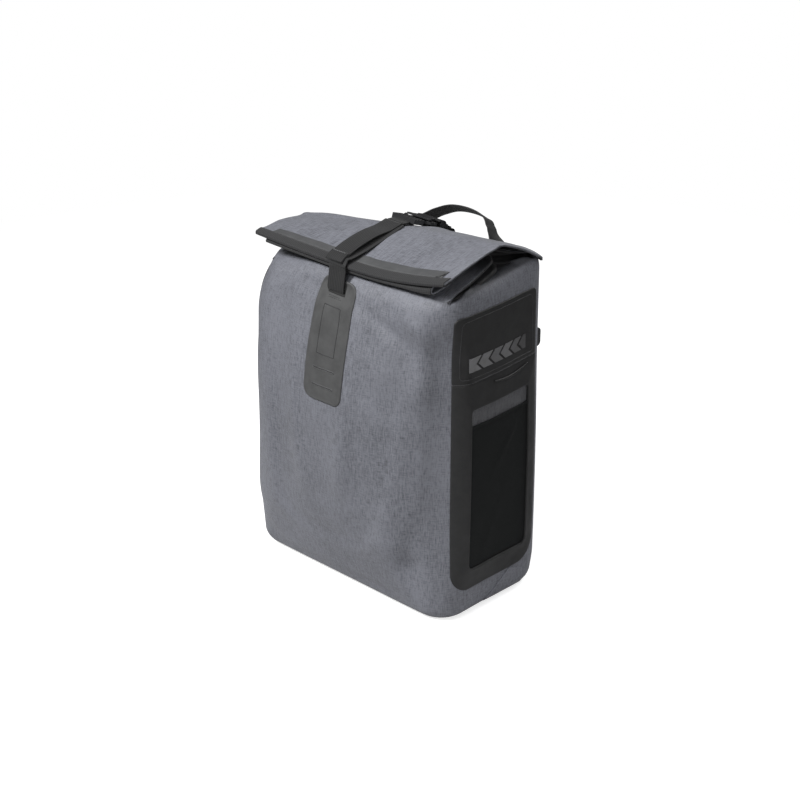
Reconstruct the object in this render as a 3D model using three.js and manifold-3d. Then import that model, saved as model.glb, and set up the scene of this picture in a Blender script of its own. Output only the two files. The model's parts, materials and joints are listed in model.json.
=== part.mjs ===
// Roll-top bicycle pannier bag: a welded fabric bag with a gable top whose seam is rolled forward
// and held by one webbing strap with a side-release buckle, a carry handle, side pockets, and
// rails on the rack side with two sliding hooks and a swivelling stabiliser.
//
// Frame: millimetres, +Z up. The front faces -Y and the rack side +Y; +X is on the right when
// looking at the front. The origin is the centre of the base's underside.

import * as THREE from 'three';
import { mergeVertices } from 'three/addons/utils/BufferGeometryUtils.js';
import Module from 'manifold-3d';

const wasm = await Module();
wasm.setup();

// ------------------------------------------------------------------------- driving dimensions
const BODY_W = 310;
const BODY_D = 170;                  // depth at the corners, without the front's bulge
const CORNER_R = 36;                 // vertical corner radius
const FABRIC = 2.4;                  // wall thickness
const GAP = 0.4;                     // gap between neighbouring sheets
const BASE_T = 3.6;                  // base panel thickness
const BACK_BOARD_T = 2.6;
const FRONT_SHOULDER = [-84, 378];   // y, z where the front lip starts
const FRONT_LIP_END = [-10, 408];    // y, z where the front lip ends, under the roll
const BACK_SHOULDER = [84, 393];     // y, z where the back lip starts
const RIDGE = [8, 420];              // y, z of the gable ridge
const ROLL_EDGE = [-88, 401];        // y, z of the roll's front edge, top face
const LIP_HALF = 146;                // half length of the lips and the roll
const BATTEN_T = 1.6;                // thickness of the roll's battens
const WEBBING = 25;                  // strap width
const WEB_T = 1.6;                   // strap thickness
const STRAP_LIFT = 2.9;              // slack under the closure strap where it crosses the roll
const STRAP_DROP = [[-99.6, 367], [-94.4, 401.5]]; // y, z of the drop's lower and upper end
const HOOK_X = 78;                   // hook distance from the middle of the rail
const TUBE_Y = 110;                  // centre of the rack tube in the hooks
const SEAT_Z = 330;                  // height of the hooks' seat

const HALF_W = BODY_W / 2;
const HALF_D = BODY_D / 2;
const BACK_BOARD_Y = HALF_D - FABRIC - GAP;             // outer face of the back board
const STRIP_Y = BACK_BOARD_Y - BACK_BOARD_T - GAP;      // outer face of the nut strips
const RAIL_Y = HALF_D + GAP;                            // face of the rails towards the bag

// ------------------------------------------------------------------------- materials
const material = ({ color, roughness, metalness = 0 }) =>
  new THREE.MeshStandardMaterial({ color, roughness, metalness });
const FABRIC_GREY = material({ color: 0x6d6f75, roughness: 0.85 });
const TPU_DARK = material({ color: 0x333334, roughness: 0.55 });
const TPU_MID = material({ color: 0x5d5e5f, roughness: 0.6 });
const WEB_BLACK = material({ color: 0x2c2c2c, roughness: 0.8 });
const STRETCH = material({ color: 0x151717, roughness: 0.9 });
const PLASTIC = material({ color: 0x1c1c1d, roughness: 0.45 });
const BOARD = material({ color: 0x26272a, roughness: 0.6 });
const ALU = material({ color: 0x9a9da0, roughness: 0.35, metalness: 0.9 });
const STEEL = material({ color: 0xb5b7b9, roughness: 0.3, metalness: 1 });
const REFLECT = material({ color: 0x9b9ca2, roughness: 0.35, metalness: 0.3 });

// ------------------------------------------------------------------------- rails
// Each rail is a T in section: a neck against the bag and a wider head. Depths are from RAIL_Y.
const UPPER_RAIL = {
  z: 294,
  half: 123,
  neckDepth: 3.6,
  depth: 7.6,
  boreStart: 4.8,                    // floor of the bore for the screw heads
  screwX: [-100, 0, 100],
  stripHalf: 112,                    // half length of the nut strip inside the bag
};
const LOWER_RAIL = {
  z: 112,
  half: 64,
  neckDepth: 2.8,
  depth: 5.8,
  boreStart: 3.4,
  screwX: [-50, 50],
  stripHalf: 62,
};
const NECK_HALF = 5.5;
const HEAD_HALF = 9;
const SLIDE_CLEARANCE = 0.35;        // play between a rail and what slides on it
const SCREW_HOLE_R = 2.4;

// ------------------------------------------------------------------------- solid helpers
function solid(geometry) {
  const source = geometry.index ? geometry.toNonIndexed() : geometry;
  const bare = new THREE.BufferGeometry();
  bare.setAttribute('position', source.getAttribute('position'));
  const merged = mergeVertices(bare, 1e-4);
  return new wasm.Manifold(new wasm.Mesh({
    numProp: 3,
    vertProperties: merged.attributes.position.array,
    triVerts: new Uint32Array(merged.index.array),
  }));
}

function geometryOf(manifold) {
  const mesh = manifold.getMesh();
  const positions = new Float32Array(mesh.numVert * 3);
  for (let i = 0; i < mesh.numVert; i++) {
    const start = i * mesh.numProp;
    positions.set(mesh.vertProperties.subarray(start, start + 3), i * 3);
  }
  const indexed = new THREE.BufferGeometry();
  indexed.setAttribute('position', new THREE.BufferAttribute(positions, 3));
  indexed.setIndex(new THREE.BufferAttribute(new Uint32Array(mesh.triVerts), 1));
  const flat = indexed.toNonIndexed();
  flat.computeVertexNormals();
  return flat;
}

const cut = (body, ...tools) =>
  geometryOf(tools.reduce((sum, tool) => sum.subtract(solid(tool)), solid(body)));
const join = (body, ...others) =>
  geometryOf(others.reduce((sum, other) => sum.add(solid(other)), solid(body)));

// Axis-aligned block from its limits.
function block(x0, x1, y0, y1, z0, z1) {
  return new THREE.BoxGeometry(x1 - x0, y1 - y0, z1 - z0)
    .translate((x0 + x1) / 2, (y0 + y1) / 2, (z0 + z1) / 2);
}

const shapeOf = (points) => new THREE.Shape(points.map(([a, b]) => new THREE.Vector2(a, b)));

const extrude = (points, depth) =>
  new THREE.ExtrudeGeometry(shapeOf(points), { depth, bevelEnabled: false });

// A polygon given as [y, z] points, extruded along X.
function prismX(points, x0, x1) {
  const toX = new THREE.Matrix4().set(0, 0, 1, x0, 1, 0, 0, 0, 0, 1, 0, 0, 0, 0, 0, 1);
  return extrude(points, x1 - x0).applyMatrix4(toX);
}

// A polygon given as [x, z] points, extruded along Y.
function prismY(points, y0, y1) {
  const toY = new THREE.Matrix4().set(1, 0, 0, 0, 0, 0, -1, y1, 0, 1, 0, 0, 0, 0, 0, 1);
  return extrude(points, y1 - y0).applyMatrix4(toY);
}

// A polygon given as [x, y] points, extruded along Z.
const prismZ = (points, z0, z1) => extrude(points, z1 - z0).translate(0, 0, z0);

function rodX(radius, x0, x1, y, z, segments) {
  return new THREE.CylinderGeometry(radius, radius, x1 - x0, segments)
    .rotateZ(-Math.PI / 2)
    .translate((x0 + x1) / 2, y, z);
}

function rodY(radius, y0, y1, x, z, segments) {
  return new THREE.CylinderGeometry(radius, radius, y1 - y0, segments)
    .translate(x, (y0 + y1) / 2, z);
}

// n + 1 evenly spaced values from start to end.
const steps = (start, end, n) =>
  Array.from({ length: n + 1 }, (_, i) => start + ((end - start) * i) / n);

// Points on an arc between two angles in degrees.
const arc = (centreA, centreB, radius, from, to, n) =>
  steps(from, to, n).map((degrees) => {
    const angle = (degrees * Math.PI) / 180;
    return [centreA + radius * Math.cos(angle), centreB + radius * Math.sin(angle)];
  });

const roundedRect = (a0, a1, b0, b1, r, n) => [
  ...arc(a1 - r, b1 - r, r, 0, 90, n),
  ...arc(a0 + r, b1 - r, r, 90, 180, n),
  ...arc(a0 + r, b0 + r, r, 180, 270, n),
  ...arc(a1 - r, b0 + r, r, 270, 360, n),
];

const mirrored = (points, side) => points.map(([a, b]) => [side * a, b]);

// Limits in x of a span from near to far, on the +X side (1) or the -X side (-1).
const sideSpan = (side, near, far) => (side > 0 ? [near, far] : [-far, -near]);

// A closed mesh from corners taken three by three, turned so that its faces look outwards.
function closedMesh(corners) {
  let volume = 0;
  for (let k = 0; k < corners.length; k += 3) {
    const [a, b, c] = corners.slice(k, k + 3);
    volume += a[0] * (b[1] * c[2] - b[2] * c[1])
      - a[1] * (b[0] * c[2] - b[2] * c[0])
      + a[2] * (b[0] * c[1] - b[1] * c[0]);
  }
  const order = volume < 0 ? [0, 2, 1] : [0, 1, 2];
  const positions = new Float32Array(corners.length * 3);
  for (let k = 0; k < corners.length; k += 3)
    order.forEach((from, to) => positions.set(corners[k + from], (k + to) * 3));
  const geometry = new THREE.BufferGeometry();
  geometry.setAttribute('position', new THREE.BufferAttribute(positions, 3));
  geometry.computeVertexNormals();
  return geometry;
}

// A closed sheet from two matching grids of points, one for each of its faces.
function sheet(front, back) {
  const corners = [];
  const quad = (a, b, c, d) => corners.push(a, b, c, a, c, d);
  const lastI = front.length - 1;
  const lastJ = front[0].length - 1;
  for (let i = 0; i < lastI; i++)
    for (let j = 0; j < lastJ; j++) {
      quad(front[i][j], front[i + 1][j], front[i + 1][j + 1], front[i][j + 1]);
      quad(back[i][j], back[i][j + 1], back[i + 1][j + 1], back[i + 1][j]);
    }
  for (let i = 0; i < lastI; i++) {
    quad(front[i][0], back[i][0], back[i + 1][0], front[i + 1][0]);
    quad(front[i][lastJ], front[i + 1][lastJ], back[i + 1][lastJ], back[i][lastJ]);
  }
  for (let j = 0; j < lastJ; j++) {
    quad(front[0][j], front[0][j + 1], back[0][j + 1], back[0][j]);
    quad(front[lastI][j], back[lastI][j], back[lastI][j + 1], front[lastI][j + 1]);
  }
  return closedMesh(corners);
}

// The [y, z] point at a distance from one [y, z] point towards another.
function along(from, to, distance) {
  const length = Math.hypot(to[0] - from[0], to[1] - from[1]);
  return from.map((value, i) => value + ((to[i] - value) * distance) / length);
}

// A slab along X. Its upper face runs between two [y, z] points, raised by lift.
function slab(from, to, thickness, half, lift = 0, centreX = 0) {
  const dy = to[0] - from[0];
  const dz = to[1] - from[1];
  const up = Math.sign(dy) / Math.hypot(dy, dz);
  const raise = ([y, z], height) => [y - dz * up * height, z + dy * up * height];
  const section = [
    raise(from, lift - thickness),
    raise(to, lift - thickness),
    raise(to, lift),
    raise(from, lift),
  ];
  return prismX(section, centreX - half, centreX + half);
}

const root = new THREE.Group();

function add(name, geometry, look, parent = root) {
  const mesh = new THREE.Mesh(geometry, look);
  mesh.name = name;
  parent.add(mesh);
}

// The two sides of the bag, as the sign of x and the tag in the mesh names.
const SIDES = [[1, 'right'], [-1, 'left']];

// ------------------------------------------------------------------------- the body's surface
// s is the length along the body's outline from the middle of the front, positive towards +X.
// These are the ends of its straight runs.
const FRONT_END = HALF_W - CORNER_R;
const CORNER_ARC = (CORNER_R * Math.PI) / 2;
const SIDE_START = FRONT_END + CORNER_ARC;
const SIDE_END = SIDE_START + BODY_D - 2 * CORNER_R;
const BACK_START = SIDE_END + CORNER_ARC;

const FRONT_BULGE = { z: 215, top: 376, depth: 31, edgeDepth: 8 }; // z: height of the maximum
const SIDE_BULGE = { depth: 4, top: 390 };
const TURN_UNDER = { z: 20, height: 16, inset: 8 };  // the wall curves in below z

// Point and outward normal of the plain outline, as [x, y, normalX, normalY], for +X.
function outlineAt(distance) {
  const corner = (angle, centreY) => {
    const normalX = Math.cos(angle);
    const normalY = Math.sin(angle);
    return [FRONT_END + CORNER_R * normalX, centreY + CORNER_R * normalY, normalX, normalY];
  };
  if (distance <= FRONT_END) return [distance, -HALF_D, 0, -1];
  if (distance <= SIDE_START)
    return corner((distance - FRONT_END) / CORNER_R - Math.PI / 2, -HALF_D + CORNER_R);
  if (distance <= SIDE_END) return [HALF_W, -HALF_D + CORNER_R + (distance - SIDE_START), 1, 0];
  if (distance <= BACK_START) return corner((distance - SIDE_END) / CORNER_R, HALF_D - CORNER_R);
  return [FRONT_END - (distance - BACK_START), HALF_D, 0, 1];
}

function frontBulge(z) {
  const { z: middle, top, depth, edgeDepth } = FRONT_BULGE;
  const t = (z - middle) / (z < middle ? middle : top - middle);
  return depth - (depth - edgeDepth) * Math.min(1, t * t);
}

// The point of the body's outer surface at s and z, moved outwards by offset.
function wall(s, z, offset = 0) {
  const [x, y, normalX, normalY] = outlineAt(Math.abs(s));
  const acrossFront = Math.pow(Math.max(0, 1 - (x / HALF_W) ** 2), 1.5);
  const front = frontBulge(z) * acrossFront * Math.max(0, -normalY);
  const upSide = Math.sin((Math.PI * z) / SIDE_BULGE.top);
  const side = SIDE_BULGE.depth * upSide * (1 - (y / HALF_D) ** 2) * normalX;
  const under = Math.max(0, TURN_UNDER.z - z) / TURN_UNDER.height;
  const out = offset - TURN_UNDER.inset * under * under;
  return [(s < 0 ? -1 : 1) * (x + side + out * normalX), y - front + out * normalY, z];
}

// A sheet that follows the wall between two offsets. A height may be a function of s.
function wallSheet(stations, heights, near, far) {
  const face = (offset) => stations.map((s) =>
    heights.map((z) => wall(s, typeof z === 'function' ? z(s) : z, offset)));
  return sheet(face(far), face(near));
}

// Stations round the outline, with a number of steps for each corner and straight run.
function outlineStations(counts) {
  const ends = [
    -BACK_START, -SIDE_END, -SIDE_START, -FRONT_END, FRONT_END, SIDE_START, SIDE_END, BACK_START,
  ];
  return counts.flatMap((n, i) => steps(ends[i], ends[i + 1], n).slice(i === 0 ? 0 : 1));
}

// ------------------------------------------------------------------------- the bag's shell
// The wall's top edge climbs from front to back.
function rim(s) {
  const y = wall(s, 380)[1];
  return 374 + (15 * Math.max(0, y + HALF_D)) / BODY_D;
}

const WRAP_LEVELS = [BASE_T + GAP, 8, 13, 20, 60, 110, 165, 215, 265, 310, 345, rim];
const WRAP_STATIONS = outlineStations([5, 3, 5, 10, 5, 3, 5]);
add('body_wrap', wallSheet(WRAP_STATIONS, WRAP_LEVELS, -FABRIC, 0), FABRIC_GREY);

// The base panel follows the outline where the wall is turned under.
const BASE_OUTLINE = outlineStations([4, 1, 4, 8, 4, 1, 4]).map((s) => wall(s, 4).slice(0, 2));
add('base_panel', prismZ(BASE_OUTLINE, 0, BASE_T), TPU_DARK);
add('base_board',
  prismZ(roundedRect(-134, 134, -70, 72, 24, 3), BASE_T + 0.6, BASE_T + 3.6), BOARD);

const railHoles = ({ screwX, z }, y0, y1) =>
  screwX.map((x) => rodY(SCREW_HOLE_R, y0, y1, x, z, 10));
const screwHoles = (y0, y1) =>
  [UPPER_RAIL, LOWER_RAIL].flatMap((rail) => railHoles(rail, y0, y1));

const BACK_PANEL_HALF = FRONT_END - 0.5;
const BACK_PANEL_OUTLINE =
  roundedRect(-BACK_PANEL_HALF, BACK_PANEL_HALF, BASE_T + GAP, 390, 1.5, 1);
add('back_panel', cut(
  prismY(BACK_PANEL_OUTLINE, HALF_D - FABRIC, HALF_D),
  ...screwHoles(HALF_D - 5, HALF_D + 5),
), TPU_DARK);
add('back_board', cut(
  prismY(roundedRect(-112, 112, 14, 382, 12, 2), BACK_BOARD_Y - BACK_BOARD_T, BACK_BOARD_Y),
  ...screwHoles(HALF_D - 10, HALF_D),
), BOARD);

function nutStrip({ stripHalf, z }) {
  const strip = block(-stripHalf, stripHalf, STRIP_Y - 2.2, STRIP_Y, z - 9, z + 9);
  return cut(strip, ...screwHoles(60, HALF_D));
}
add('upper_nut_strip', nutStrip(UPPER_RAIL), ALU);
add('lower_nut_strip', nutStrip(LOWER_RAIL), ALU);

// ------------------------------------------------------------------------- front strap patch
// A strip up the front with round lower corners, a slot near its top and two slits below.
function frontPatch() {
  const half = 30;
  const bottom = 240;
  const top = 373;
  const levels = [bottom, 252, 265, 278, 291, 304, 317, 330, 343, 356, 365, top];
  const onWall = wallSheet(steps(-half, half, 6), levels, 0.5, 2.1);
  // The outline's upper corners lie above the top and are flattened onto it.
  const outline = roundedRect(-half, half, bottom, 382, 9, 3)
    .map(([x, z]) => [x, Math.min(top, z)]);
  const trimmed = geometryOf(solid(onWall).intersect(solid(prismY(outline, -130, -60))));
  const opening = (openingHalf, z0, z1) => block(-openingHalf, openingHalf, -130, -60, z0, z1);
  return cut(trimmed,
    opening(14, 363.5, 366.5),
    opening(13, 285, 286.4),
    opening(13, 263, 264.4));
}
add('front_patch', frontPatch(), TPU_MID);

// ------------------------------------------------------------------------- side panels
const PANEL_S = [146.5, 153, 160, 167, 175.5, 190, 205, 224, 243, 258, 273.5, 280, 286.8];
const PANEL_Z = [296, 310, 325, 340, 355, 371];
const POCKET_Z = [38, 62, 90, 120, 150, 180, 210, 240, 266, 294.5];
const WINDOW_S = [178.5, 272.5];     // ends of the pocket frame's window
const MESH_S = [172, 175.5, 190, 205, 224, 243, 258, 273.5, 279];
const MESH_Z = [48, 80, 120, 160, 200, 240];
const REFLECTOR_S = [180, 195, 210, 224, 238, 252, 270];
const REFLECTOR_Z = [303, 312, 322];
const SIDE_CUT = [120, 200];         // reach in x of the prisms that trim the side sheets

// A chevron as [y, z] points. The first one has a straight front edge, the last a clipped back.
function chevron(k) {
  const start = -47 + k * 15.4;
  const [low, middle, high] = [304.5, 312.5, 320.5];
  if (k === 0)
    return [[start, low], [start, high], [start + 12, high], [start + 5, middle], [start + 12, low]];
  const end = Math.min(44, start + 15);
  return [
    [start, middle], [start + 7, high], [end, high],
    [start + 8, middle], [end, low], [start + 7, low],
  ];
}

// Six raised chevrons on one thin film.
function reflector(side, stations) {
  const film = solid(wallSheet(stations, REFLECTOR_Z, 2.0, 2.3));
  const raised = wallSheet(stations, REFLECTOR_Z, 2.0, 2.7);
  let all = film;
  for (let k = 0; k < 6; k++) {
    const outline = prismX(chevron(k), ...sideSpan(side, ...SIDE_CUT));
    all = all.add(solid(raised).intersect(solid(outline)));
  }
  return geometryOf(all);
}

for (const [side, tag] of SIDES) {
  const onSide = (stations) => stations.map((s) => side * s);
  const panelS = onSide(PANEL_S);
  add(`side_panel_${tag}`, wallSheet(panelS, PANEL_Z, 0.5, 1.7), TPU_DARK);
  const [windowY0, windowY1] = WINDOW_S.map((s) => wall(s, 150)[1]);
  const windowOutline = roundedRect(windowY0, windowY1, 62, 261, 7, 2);
  add(`pocket_frame_${tag}`, cut(
    wallSheet(panelS, POCKET_Z, 1.9, 3.1),
    prismX(windowOutline, ...sideSpan(side, ...SIDE_CUT)),
  ), TPU_DARK);
  add(`pocket_mesh_${tag}`, wallSheet(onSide(MESH_S), MESH_Z, 0.5, 1.5), STRETCH);
  add(`reflector_${tag}`, reflector(side, onSide(REFLECTOR_S)), REFLECT);
}

// ------------------------------------------------------------------------- gussets and lips
// A sloping triangle at each end of the gable, 2 thick.
function gusset(side) {
  const top = [[side * 147, -64, 376], [side * 147, 62, 387], [side * 92, 4, 399]];
  const [a, b, c] = top;
  const [d, e, f] = top.map(([x, y, z]) => [x, y, z - 2]);
  return closedMesh([
    a, b, c, d, f, e,
    a, d, e, a, e, b,
    b, e, f, b, f, c,
    c, f, d, c, d, a,
  ]);
}
for (const [side, tag] of SIDES) add(`gusset_${tag}`, gusset(side), FABRIC_GREY);

// The front lip lies back under the roll; the back lip runs from the shoulder to the ridge.
add('front_lip', slab(FRONT_SHOULDER, FRONT_LIP_END, FABRIC, LIP_HALF), FABRIC_GREY);
add('back_lip',
  slab(along(RIDGE, BACK_SHOULDER, 1.6), BACK_SHOULDER, FABRIC, LIP_HALF), FABRIC_GREY);

// ------------------------------------------------------------------------- roll and its strap
const ROLL_LEN = Math.hypot(ROLL_EDGE[0] - RIDGE[0], ROLL_EDGE[1] - RIDGE[1]);
const INNER_LIFT = -FABRIC - 2 * GAP - BATTEN_T;
const LOWER_BATTEN_LIFT = INNER_LIFT - FABRIC - GAP;
const WEB_HALF = WEBBING / 2;

// Layers parallel to the roll's top: start and end are distances from the ridge, lift is the
// height of the layer's upper face over the roll's.
const ROLL_LAYERS = [
  { name: 'roll_outer', look: FABRIC_GREY, start: 1.6, end: ROLL_LEN - 4,
    thickness: FABRIC, half: LIP_HALF, lift: 0 },
  { name: 'batten_upper', look: BOARD, start: ROLL_LEN - 30, end: ROLL_LEN - 5,
    thickness: BATTEN_T, half: LIP_HALF - 3, lift: -FABRIC - GAP },
  { name: 'roll_inner', look: FABRIC_GREY, start: 48, end: ROLL_LEN - 4,
    thickness: FABRIC, half: LIP_HALF - 1, lift: INNER_LIFT },
  { name: 'batten_lower', look: BOARD, start: ROLL_LEN - 30, end: ROLL_LEN - 6,
    thickness: BATTEN_T, half: LIP_HALF - 5, lift: LOWER_BATTEN_LIFT },
  // bound edges of the mouth, one on each wall
  { name: 'edge_binding_upper', look: WEB_BLACK, start: ROLL_LEN - 3.6, end: ROLL_LEN,
    thickness: 5.2, half: LIP_HALF, lift: 0.4 },
  { name: 'edge_binding_lower', look: WEB_BLACK, start: ROLL_LEN - 3.6, end: ROLL_LEN - 0.2,
    thickness: 4.4, half: LIP_HALF - 3, lift: LOWER_BATTEN_LIFT + 0.6 },
  // the strap over the roll and its free tail on top, slightly out of line
  { name: 'closure_strap', look: WEB_BLACK, start: 8, end: ROLL_LEN,
    thickness: WEB_T, half: WEB_HALF, lift: STRAP_LIFT + WEB_T, centreX: 1 },
  { name: 'strap_tail', look: WEB_BLACK, start: 12, end: ROLL_LEN + 0.5,
    thickness: WEB_T, half: WEB_HALF, lift: STRAP_LIFT + GAP + 2 * WEB_T, centreX: -2 },
];
for (const { name, look, start, end, thickness, half, lift, centreX } of ROLL_LAYERS) {
  const from = along(RIDGE, ROLL_EDGE, start);
  const to = along(RIDGE, ROLL_EDGE, end);
  add(name, slab(from, to, thickness, half, lift, centreX), look);
}

// The strap's run down to the front patch, and the strap on the back.
add('strap_drop', slab(...STRAP_DROP, WEB_T, WEB_HALF, 0, 1), WEB_BLACK);
add('rear_strap', block(-WEB_HALF, WEB_HALF, RAIL_Y, RAIL_Y + WEB_T, 336, 389), WEB_BLACK);

// ------------------------------------------------------------------------- buckle
// Local frame: +Y down the back lip from the ridge, +Z away from the lip.
const buckle = new THREE.Group();
buckle.position.set(0, ...RIDGE);
buckle.rotation.x = Math.atan2(BACK_SHOULDER[1] - RIDGE[1], BACK_SHOULDER[0] - RIDGE[0]);
root.add(buckle);

const BUCKLE_HALF = 17;
const WEB_OPENING_HALF = 13.2;
// [x, y] outlines of the +X prong and of the +X notch in the housing
const PRONG = [
  [7.4, 19.5], [10.6, 19.5], [11.4, 29], [15.6, 33], [16.2, 38],
  [15, 45], [12.2, 47.5], [10.4, 46], [9.2, 34], [8, 28],
];
const HOUSING_NOTCH = [[20, 31], [14, 33], [12.6, 37], [13, 44], [20, 47]];

// Male half: a ladder frame with two webbing openings, and a guide tongue.
function buckleMale() {
  const frame = cut(
    block(-BUCKLE_HALF, BUCKLE_HALF, 3, 19, 2.6, 8.6),
    block(-WEB_OPENING_HALF, WEB_OPENING_HALF, 5.6, 9.2, 0, 12),
    block(-WEB_OPENING_HALF, WEB_OPENING_HALF, 11.8, 15.2, 0, 12));
  return join(frame, prismZ([[-3.4, 18], [3.4, 18], [2.6, 42], [-2.6, 42]], 4, 7.4));
}

// Female half: a flat housing open at its mouth and sides, with a webbing bar.
function buckleFemale() {
  const housing = join(
    block(-BUCKLE_HALF, BUCKLE_HALF, 27, 54, 0.7, 2.5),
    block(-BUCKLE_HALF, BUCKLE_HALF, 27, 54, 8.9, 10.9),
    block(-BUCKLE_HALF, BUCKLE_HALF, 49.5, 54, 0.7, 10.9));
  const notches = [[8, 12], [0, 3]].flatMap(([z0, z1]) =>
    [-1, 1].map((side) => prismZ(mirrored(HOUSING_NOTCH, side), z0, z1)));
  const bar = cut(
    block(-16, 16, 53, 63, 2.9, 6.9),
    block(-WEB_OPENING_HALF, WEB_OPENING_HALF, 55.6, 60, 0, 10));
  return join(cut(housing, ...notches), bar);
}

add('buckle_male', buckleMale(), PLASTIC, buckle);
for (const [side, tag] of SIDES)
  add(`buckle_prong_${tag}`, prismZ(mirrored(PRONG, side), 3.8, 7.6), PLASTIC, buckle);
add('buckle_female', buckleFemale(), PLASTIC, buckle);
add('rear_strap_loop', block(-WEB_HALF, WEB_HALF, 55, 79.5, 0.5, 0.5 + WEB_T), WEB_BLACK, buckle);

// ------------------------------------------------------------------------- carry handle
// x, y, z of the handle's centre line, from its -X end to its +X end
const HANDLE_PATH = [
  [-64, 90.5, 389], [-56, 92, 392], [-42, 95, 394], [-25, 97, 401],
  [-7, 98, 411], [10, 98, 418.5], [27, 98, 421], [43, 98, 417.5],
  [56, 97.5, 409], [65, 95, 399], [70, 92, 392], [73, 90.5, 388],
];
const HANDLE_HALF = 10.5;            // half width of the band
const HANDLE_T = 1.8;
const HANDLE_ACROSS = [0, 0.766, -0.643]; // direction of the band's width along its middle
const END_TWIST = 0.55;              // how far the width turns towards the middle at the ends
const TWIST_POINTS = 2.2;            // path points over which the twist fades

function carryHandle() {
  const last = HANDLE_PATH.length - 1;
  const faces = [[], []];
  HANDLE_PATH.forEach((point, i) => {
    const before = new THREE.Vector3(...HANDLE_PATH[Math.max(0, i - 1)]);
    const after = new THREE.Vector3(...HANDLE_PATH[Math.min(last, i + 1)]);
    const tangent = after.sub(before).normalize();
    const blend = Math.min(1, Math.min(i, last - i) / TWIST_POINTS);
    const across = new THREE.Vector3(...HANDLE_ACROSS).multiplyScalar(blend);
    across.x += (i < last / 2 ? 1 : -1) * END_TWIST * (1 - blend);
    across.addScaledVector(tangent, -across.dot(tangent)).normalize();
    const normal = new THREE.Vector3().crossVectors(tangent, across).normalize();
    [HANDLE_T / 2, -HANDLE_T / 2].forEach((lift, face) => {
      faces[face].push([-1, 0, 1].map((w) => new THREE.Vector3(...point)
        .addScaledVector(across, w * HANDLE_HALF)
        .addScaledVector(normal, lift)
        .toArray()));
    });
  });
  return sheet(...faces);
}
add('carry_handle', carryHandle(), WEB_BLACK);
add('handle_anchor_left', block(-76, -52, RAIL_Y, RAIL_Y + 2, 345, 376), WEB_BLACK);
add('handle_anchor_right', block(62, 86, RAIL_Y, RAIL_Y + 2, 345, 376), WEB_BLACK);

// ------------------------------------------------------------------------- rails and screws
// The rail's T section as [y, z] points. With a clearance it is the slot that slides on it.
function railSection({ z, neckDepth, depth }, neckStart = RAIL_Y, clearance = 0) {
  const neck = NECK_HALF + clearance;
  const head = HEAD_HALF + clearance;
  const headStart = RAIL_Y + neckDepth - clearance;
  const headEnd = RAIL_Y + depth + clearance;
  return [
    [neckStart, z - neck], [headStart, z - neck], [headStart, z - head], [headEnd, z - head],
    [headEnd, z + head], [headStart, z + head], [headStart, z + neck], [neckStart, z + neck],
  ];
}

const slidingSlot = (rail) => prismX(railSection(rail, RAIL_Y - 1, SLIDE_CLEARANCE), -20, 20);

function railGeometry(rail) {
  const { z, half, boreStart, screwX } = rail;
  return cut(prismX(railSection(rail), -half, half),
    ...railHoles(rail, RAIL_Y - 1, RAIL_Y + 9),
    ...screwX.map((x) => rodY(4.5, RAIL_Y + boreStart, RAIL_Y + 9, x, z, 12)));
}

function addScrews(rail, name) {
  const { z, depth, boreStart, screwX } = rail;
  screwX.forEach((x, i) => {
    const shank = rodY(2, STRIP_Y - 4, RAIL_Y + boreStart + 0.6, x, z, 10);
    const head = rodY(4.1, RAIL_Y + boreStart + 0.3, RAIL_Y + depth - 0.2, x, z, 12);
    add(`${name}_${i + 1}`, join(shank, head), STEEL);
  });
}

add('upper_rail', railGeometry(UPPER_RAIL), ALU);
for (const [side, tag] of SIDES) {
  const { z, half } = UPPER_RAIL;
  const outline = roundedRect(RAIL_Y, RAIL_Y + 14, z - 11, z + 11, 4.5, 3);
  add(`rail_cap_${tag}`, prismX(outline, ...sideSpan(side, half + 0.4, half + 8)), PLASTIC);
}
addScrews(UPPER_RAIL, 'rail_screw');

// ------------------------------------------------------------------------- rack hooks
const PIN_Y = TUBE_Y - 5;
const PIN_Z = UPPER_RAIL.z + 2;
const PIN_HOLE_R = 1.95;
const CLAMP_Z = UPPER_RAIL.z - 15.5; // height of the clamp screw

function hookGeometry() {
  const { z } = UPPER_RAIL;
  const half = 11;
  const footStart = RAIL_Y + 0.8;
  const footEnd = RAIL_Y + 12.4;
  const near = TUBE_Y - 8.5;         // tube opening, side towards the bag
  const far = TUBE_Y + 8.5;
  const profile = [
    [footStart, z - 21], [footEnd - 2, z - 21], [footEnd, z - 19], [footEnd, z + 10],
    [near, z + 16], [near, SEAT_Z - 5], [near + 5, SEAT_Z], [far - 5, SEAT_Z],
    [far, SEAT_Z - 5], [far, SEAT_Z - 20], [far + 2, SEAT_Z - 23],
    [far + 5, SEAT_Z - 22], [far + 6.5, SEAT_Z - 18],
    ...arc(far - 5, SEAT_Z - 4, 11.5, 0, 90, 4),
    ...arc(near + 3, SEAT_Z - 4, 11.5, 90, 180, 4),
    [near - 8.5, z + 20], [footStart, z + 13],
  ];
  const body = cut(prismX(profile, -half, half),
    slidingSlot(UPPER_RAIL),
    rodY(2.35, RAIL_Y, RAIL_Y + 20, 0, CLAMP_Z, 10));
  // two ears carry the latch pin
  const ear = [
    [footEnd - 1, z - 4], [TUBE_Y - 0.5, z - 4], [TUBE_Y + 1, z + 1],
    [TUBE_Y, z + 7], [near, z + 14], [footEnd - 1, z + 9],
  ];
  const ears = [-1, 1].map((side) => prismX(ear, ...sideSpan(side, 6.6, half)));
  return cut(join(body, ...ears), rodX(PIN_HOLE_R, -20, 20, PIN_Y, PIN_Z, 12));
}

// [y, z] outline of the latch, from the pin's centre
const LATCH = [
  [-3.4, -2], [-1, -4], [4.4, -15], [8.2, -14], [5, -3],
  [12.4, 5.8], [11.4, 9.4], [6, 8.6], [0, 4.6], [-3, 2.4],
];

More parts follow.
